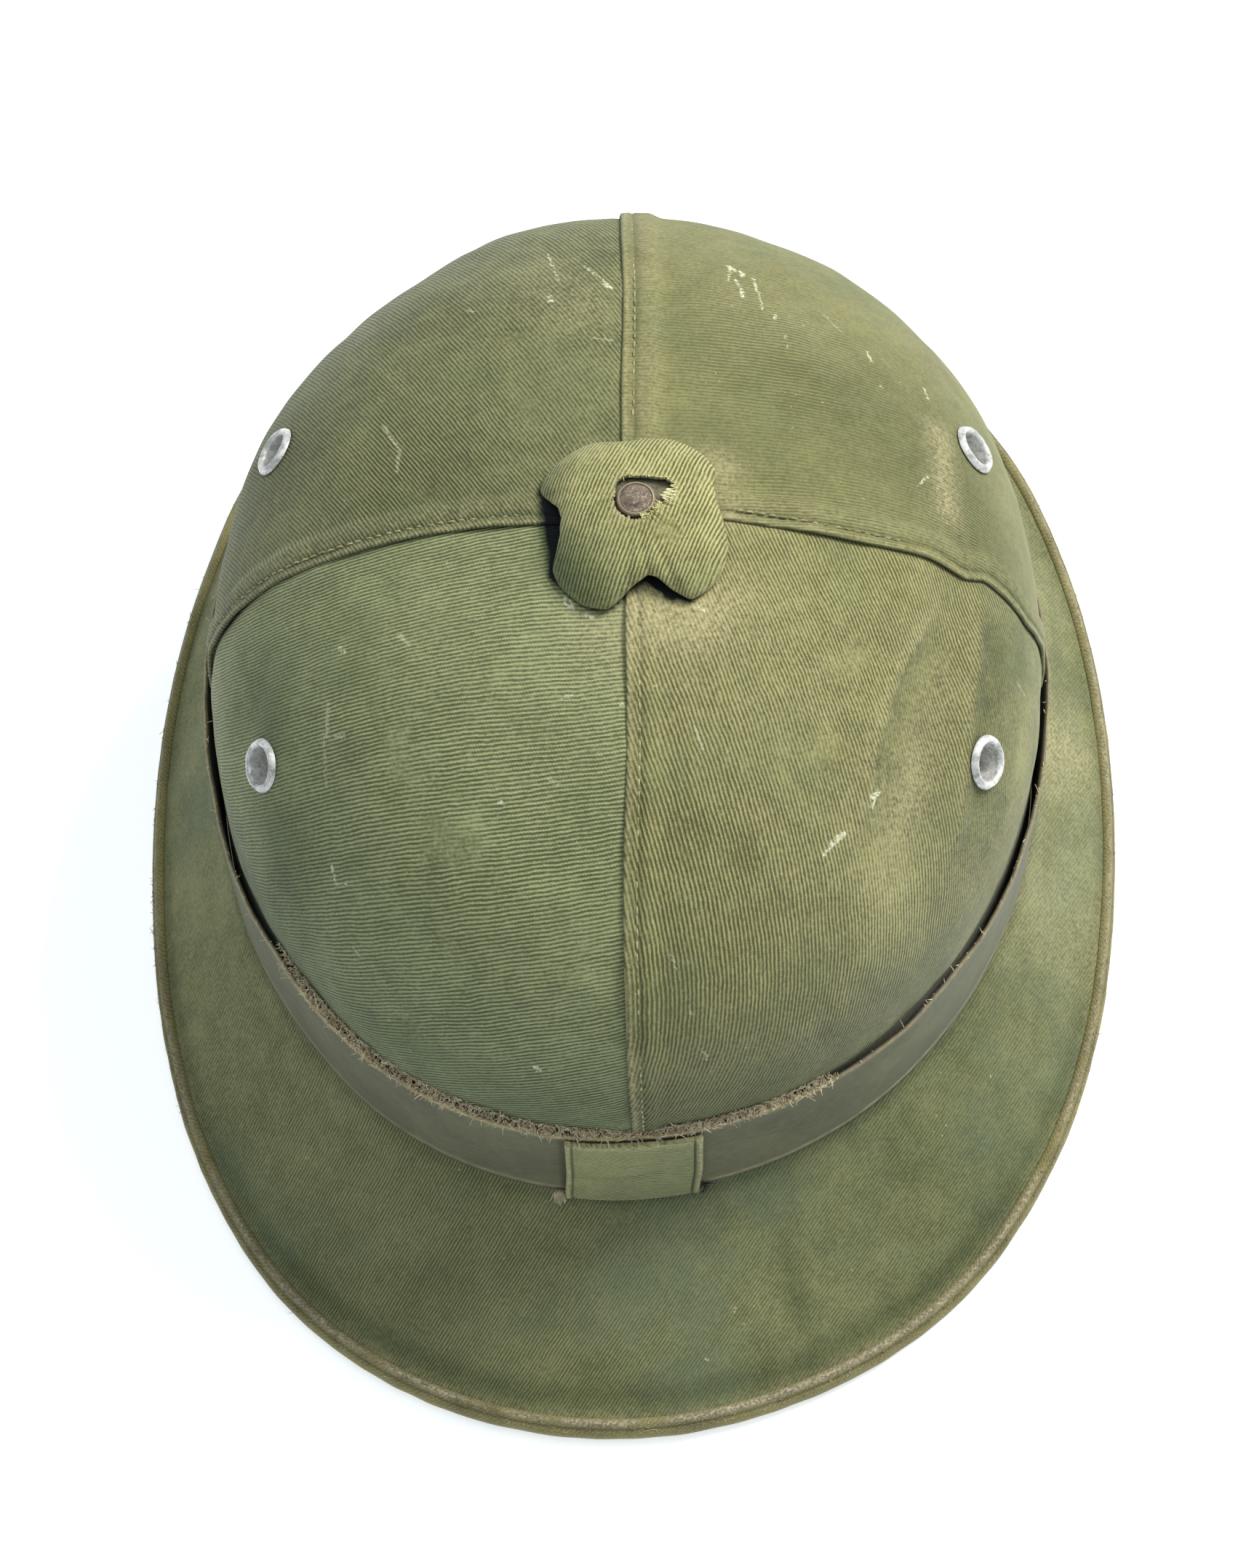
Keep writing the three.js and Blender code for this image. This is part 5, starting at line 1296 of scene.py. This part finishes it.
# thick loops of yarn across the tear's right end
loops = []
for k in range(5):
    a0 = 91 + 5.6 * k + g.normal(0, 0.6)
    j_ = int((a0 + 180) / 360 * NA) % NA
    r0 = tear_r[j_] + 0.4
    reach_ = g.uniform(1.6, 3.0) * (0.6 + 0.4 * math.sin(math.pi * (k + 0.5) / 5))
    t_ = np.linspace(0, 1, 9)
    rr_ = r0 - reach_ * np.sin(np.pi * t_)
    dd_ = a0 + (t_ - 0.5) * 5.0 + 3.0 * np.sin(np.pi * t_)
    q = cap_surface(dd_, rr_)
    q[:, 2] += 0.25 + 0.35 * np.sin(np.pi * t_)
    loops.append(q)
torn = tubes("cap_tear_loops", np.array(loops), g.uniform(0.17, 0.24, 5), 7)
set_mat(torn, thread_mat("loop_thread", (200, 194, 136), (250, 246, 196), 2.0))

# tuft and knot at the tab's lower corners
nt = 60
d0 = TAB_DEG - half_deg * 1.02
p_ = band_at(np.full(nt, d0 - 0.85), np.full(nt, BAND_FOOT + 0.7), BAND_THICK + 0.6) + g.normal(0, 1, (nt, 3)) * np.array([0.42, 0.15, 0.2])
dirs_ = np.array([0.10, -0.80, -0.45]) + (p_ - p_.mean(0)) * np.array([0.45, 0, 0]) + g.normal(0, 0.04, (nt, 3))
tuft = tubes("tab_tuft", hairs(p_, dirs_, g.uniform(2.0, 3.0, nt), 0.04, curl=0.1), g.uniform(0.1, 0.19, nt), 4)
set_mat(tuft, thread_mat("tuft_thread", (190, 172, 132), (250, 238, 208), 3.0))
nt = 22
d1 = TAB_DEG + half_deg * 1.0
p_ = band_at(np.full(nt, d1 + 0.2), np.full(nt, BAND_FOOT + 0.6), BAND_THICK + 0.6) + g.normal(0, 0.3, (nt, 3))
knot = tubes("tab_knot", hairs(p_, g.normal(0, 1, (nt, 3)), g.uniform(1.0, 2.2, nt), 0.3), g.uniform(0.12, 0.2, nt), 5)
set_mat(knot, thread_mat("knot_thread", (48, 44, 32), (86, 78, 56), 3.0))

# ---------------------------------------------------------------- floor and light
mesh = bpy.data.meshes.new("floor")
s_ = 6.0
mesh.from_pydata([(-s_, -s_, -0.0002), (s_, -s_, -0.0002), (s_, s_, -0.0002), (-s_, s_, -0.0002)], [], [(0, 1, 2, 3)])
floor = bpy.data.objects.new("floor", mesh)
scene.collection.objects.link(floor)
n = Net("floor", rough=0.9, Specular_IOR_Level=0.1)
n.b.inputs["Base Color"].default_value = (0.93, 0.94, 0.95, 1)
n.b.inputs["Emission Color"].default_value = (0.93, 0.96, 1.0, 1)
n.b.inputs["Emission Strength"].default_value = 0.56
floor.data.materials.append(n.mat)

world = bpy.data.worlds.new("studio")
world.use_nodes = True
bg = world.node_tree.nodes["Background"]
bg.inputs[0].default_value = (0.80, 0.91, 1.0, 1)
bg.inputs[1].default_value = 0.44
scene.world = world


def area(name, at, size, watts, colour):
    d = bpy.data.lights.new(name, "AREA")
    d.shape, d.size, d.energy, d.color = "DISK", size, watts, colour
    o = bpy.data.objects.new(name, d)
    scene.collection.objects.link(o)
    o.location = at
    o.rotation_mode = "QUATERNION"
    o.rotation_quaternion = (Vector((0, 0, 0.06)) - Vector(at)).to_track_quat("-Z", "Y")


area("key", (0.92, 0.62, 1.3), 0.7, 27, (1.0, 0.98, 0.92))
area("top", (0.0, 0.1, 1.9), 1.0, 6, (1.0, 0.99, 0.96))
scene.view_settings.view_transform = "Standard"
scene.view_settings.look = "None"
scene.view_settings.exposure = 0.0
scene.view_settings.gamma = 1.0
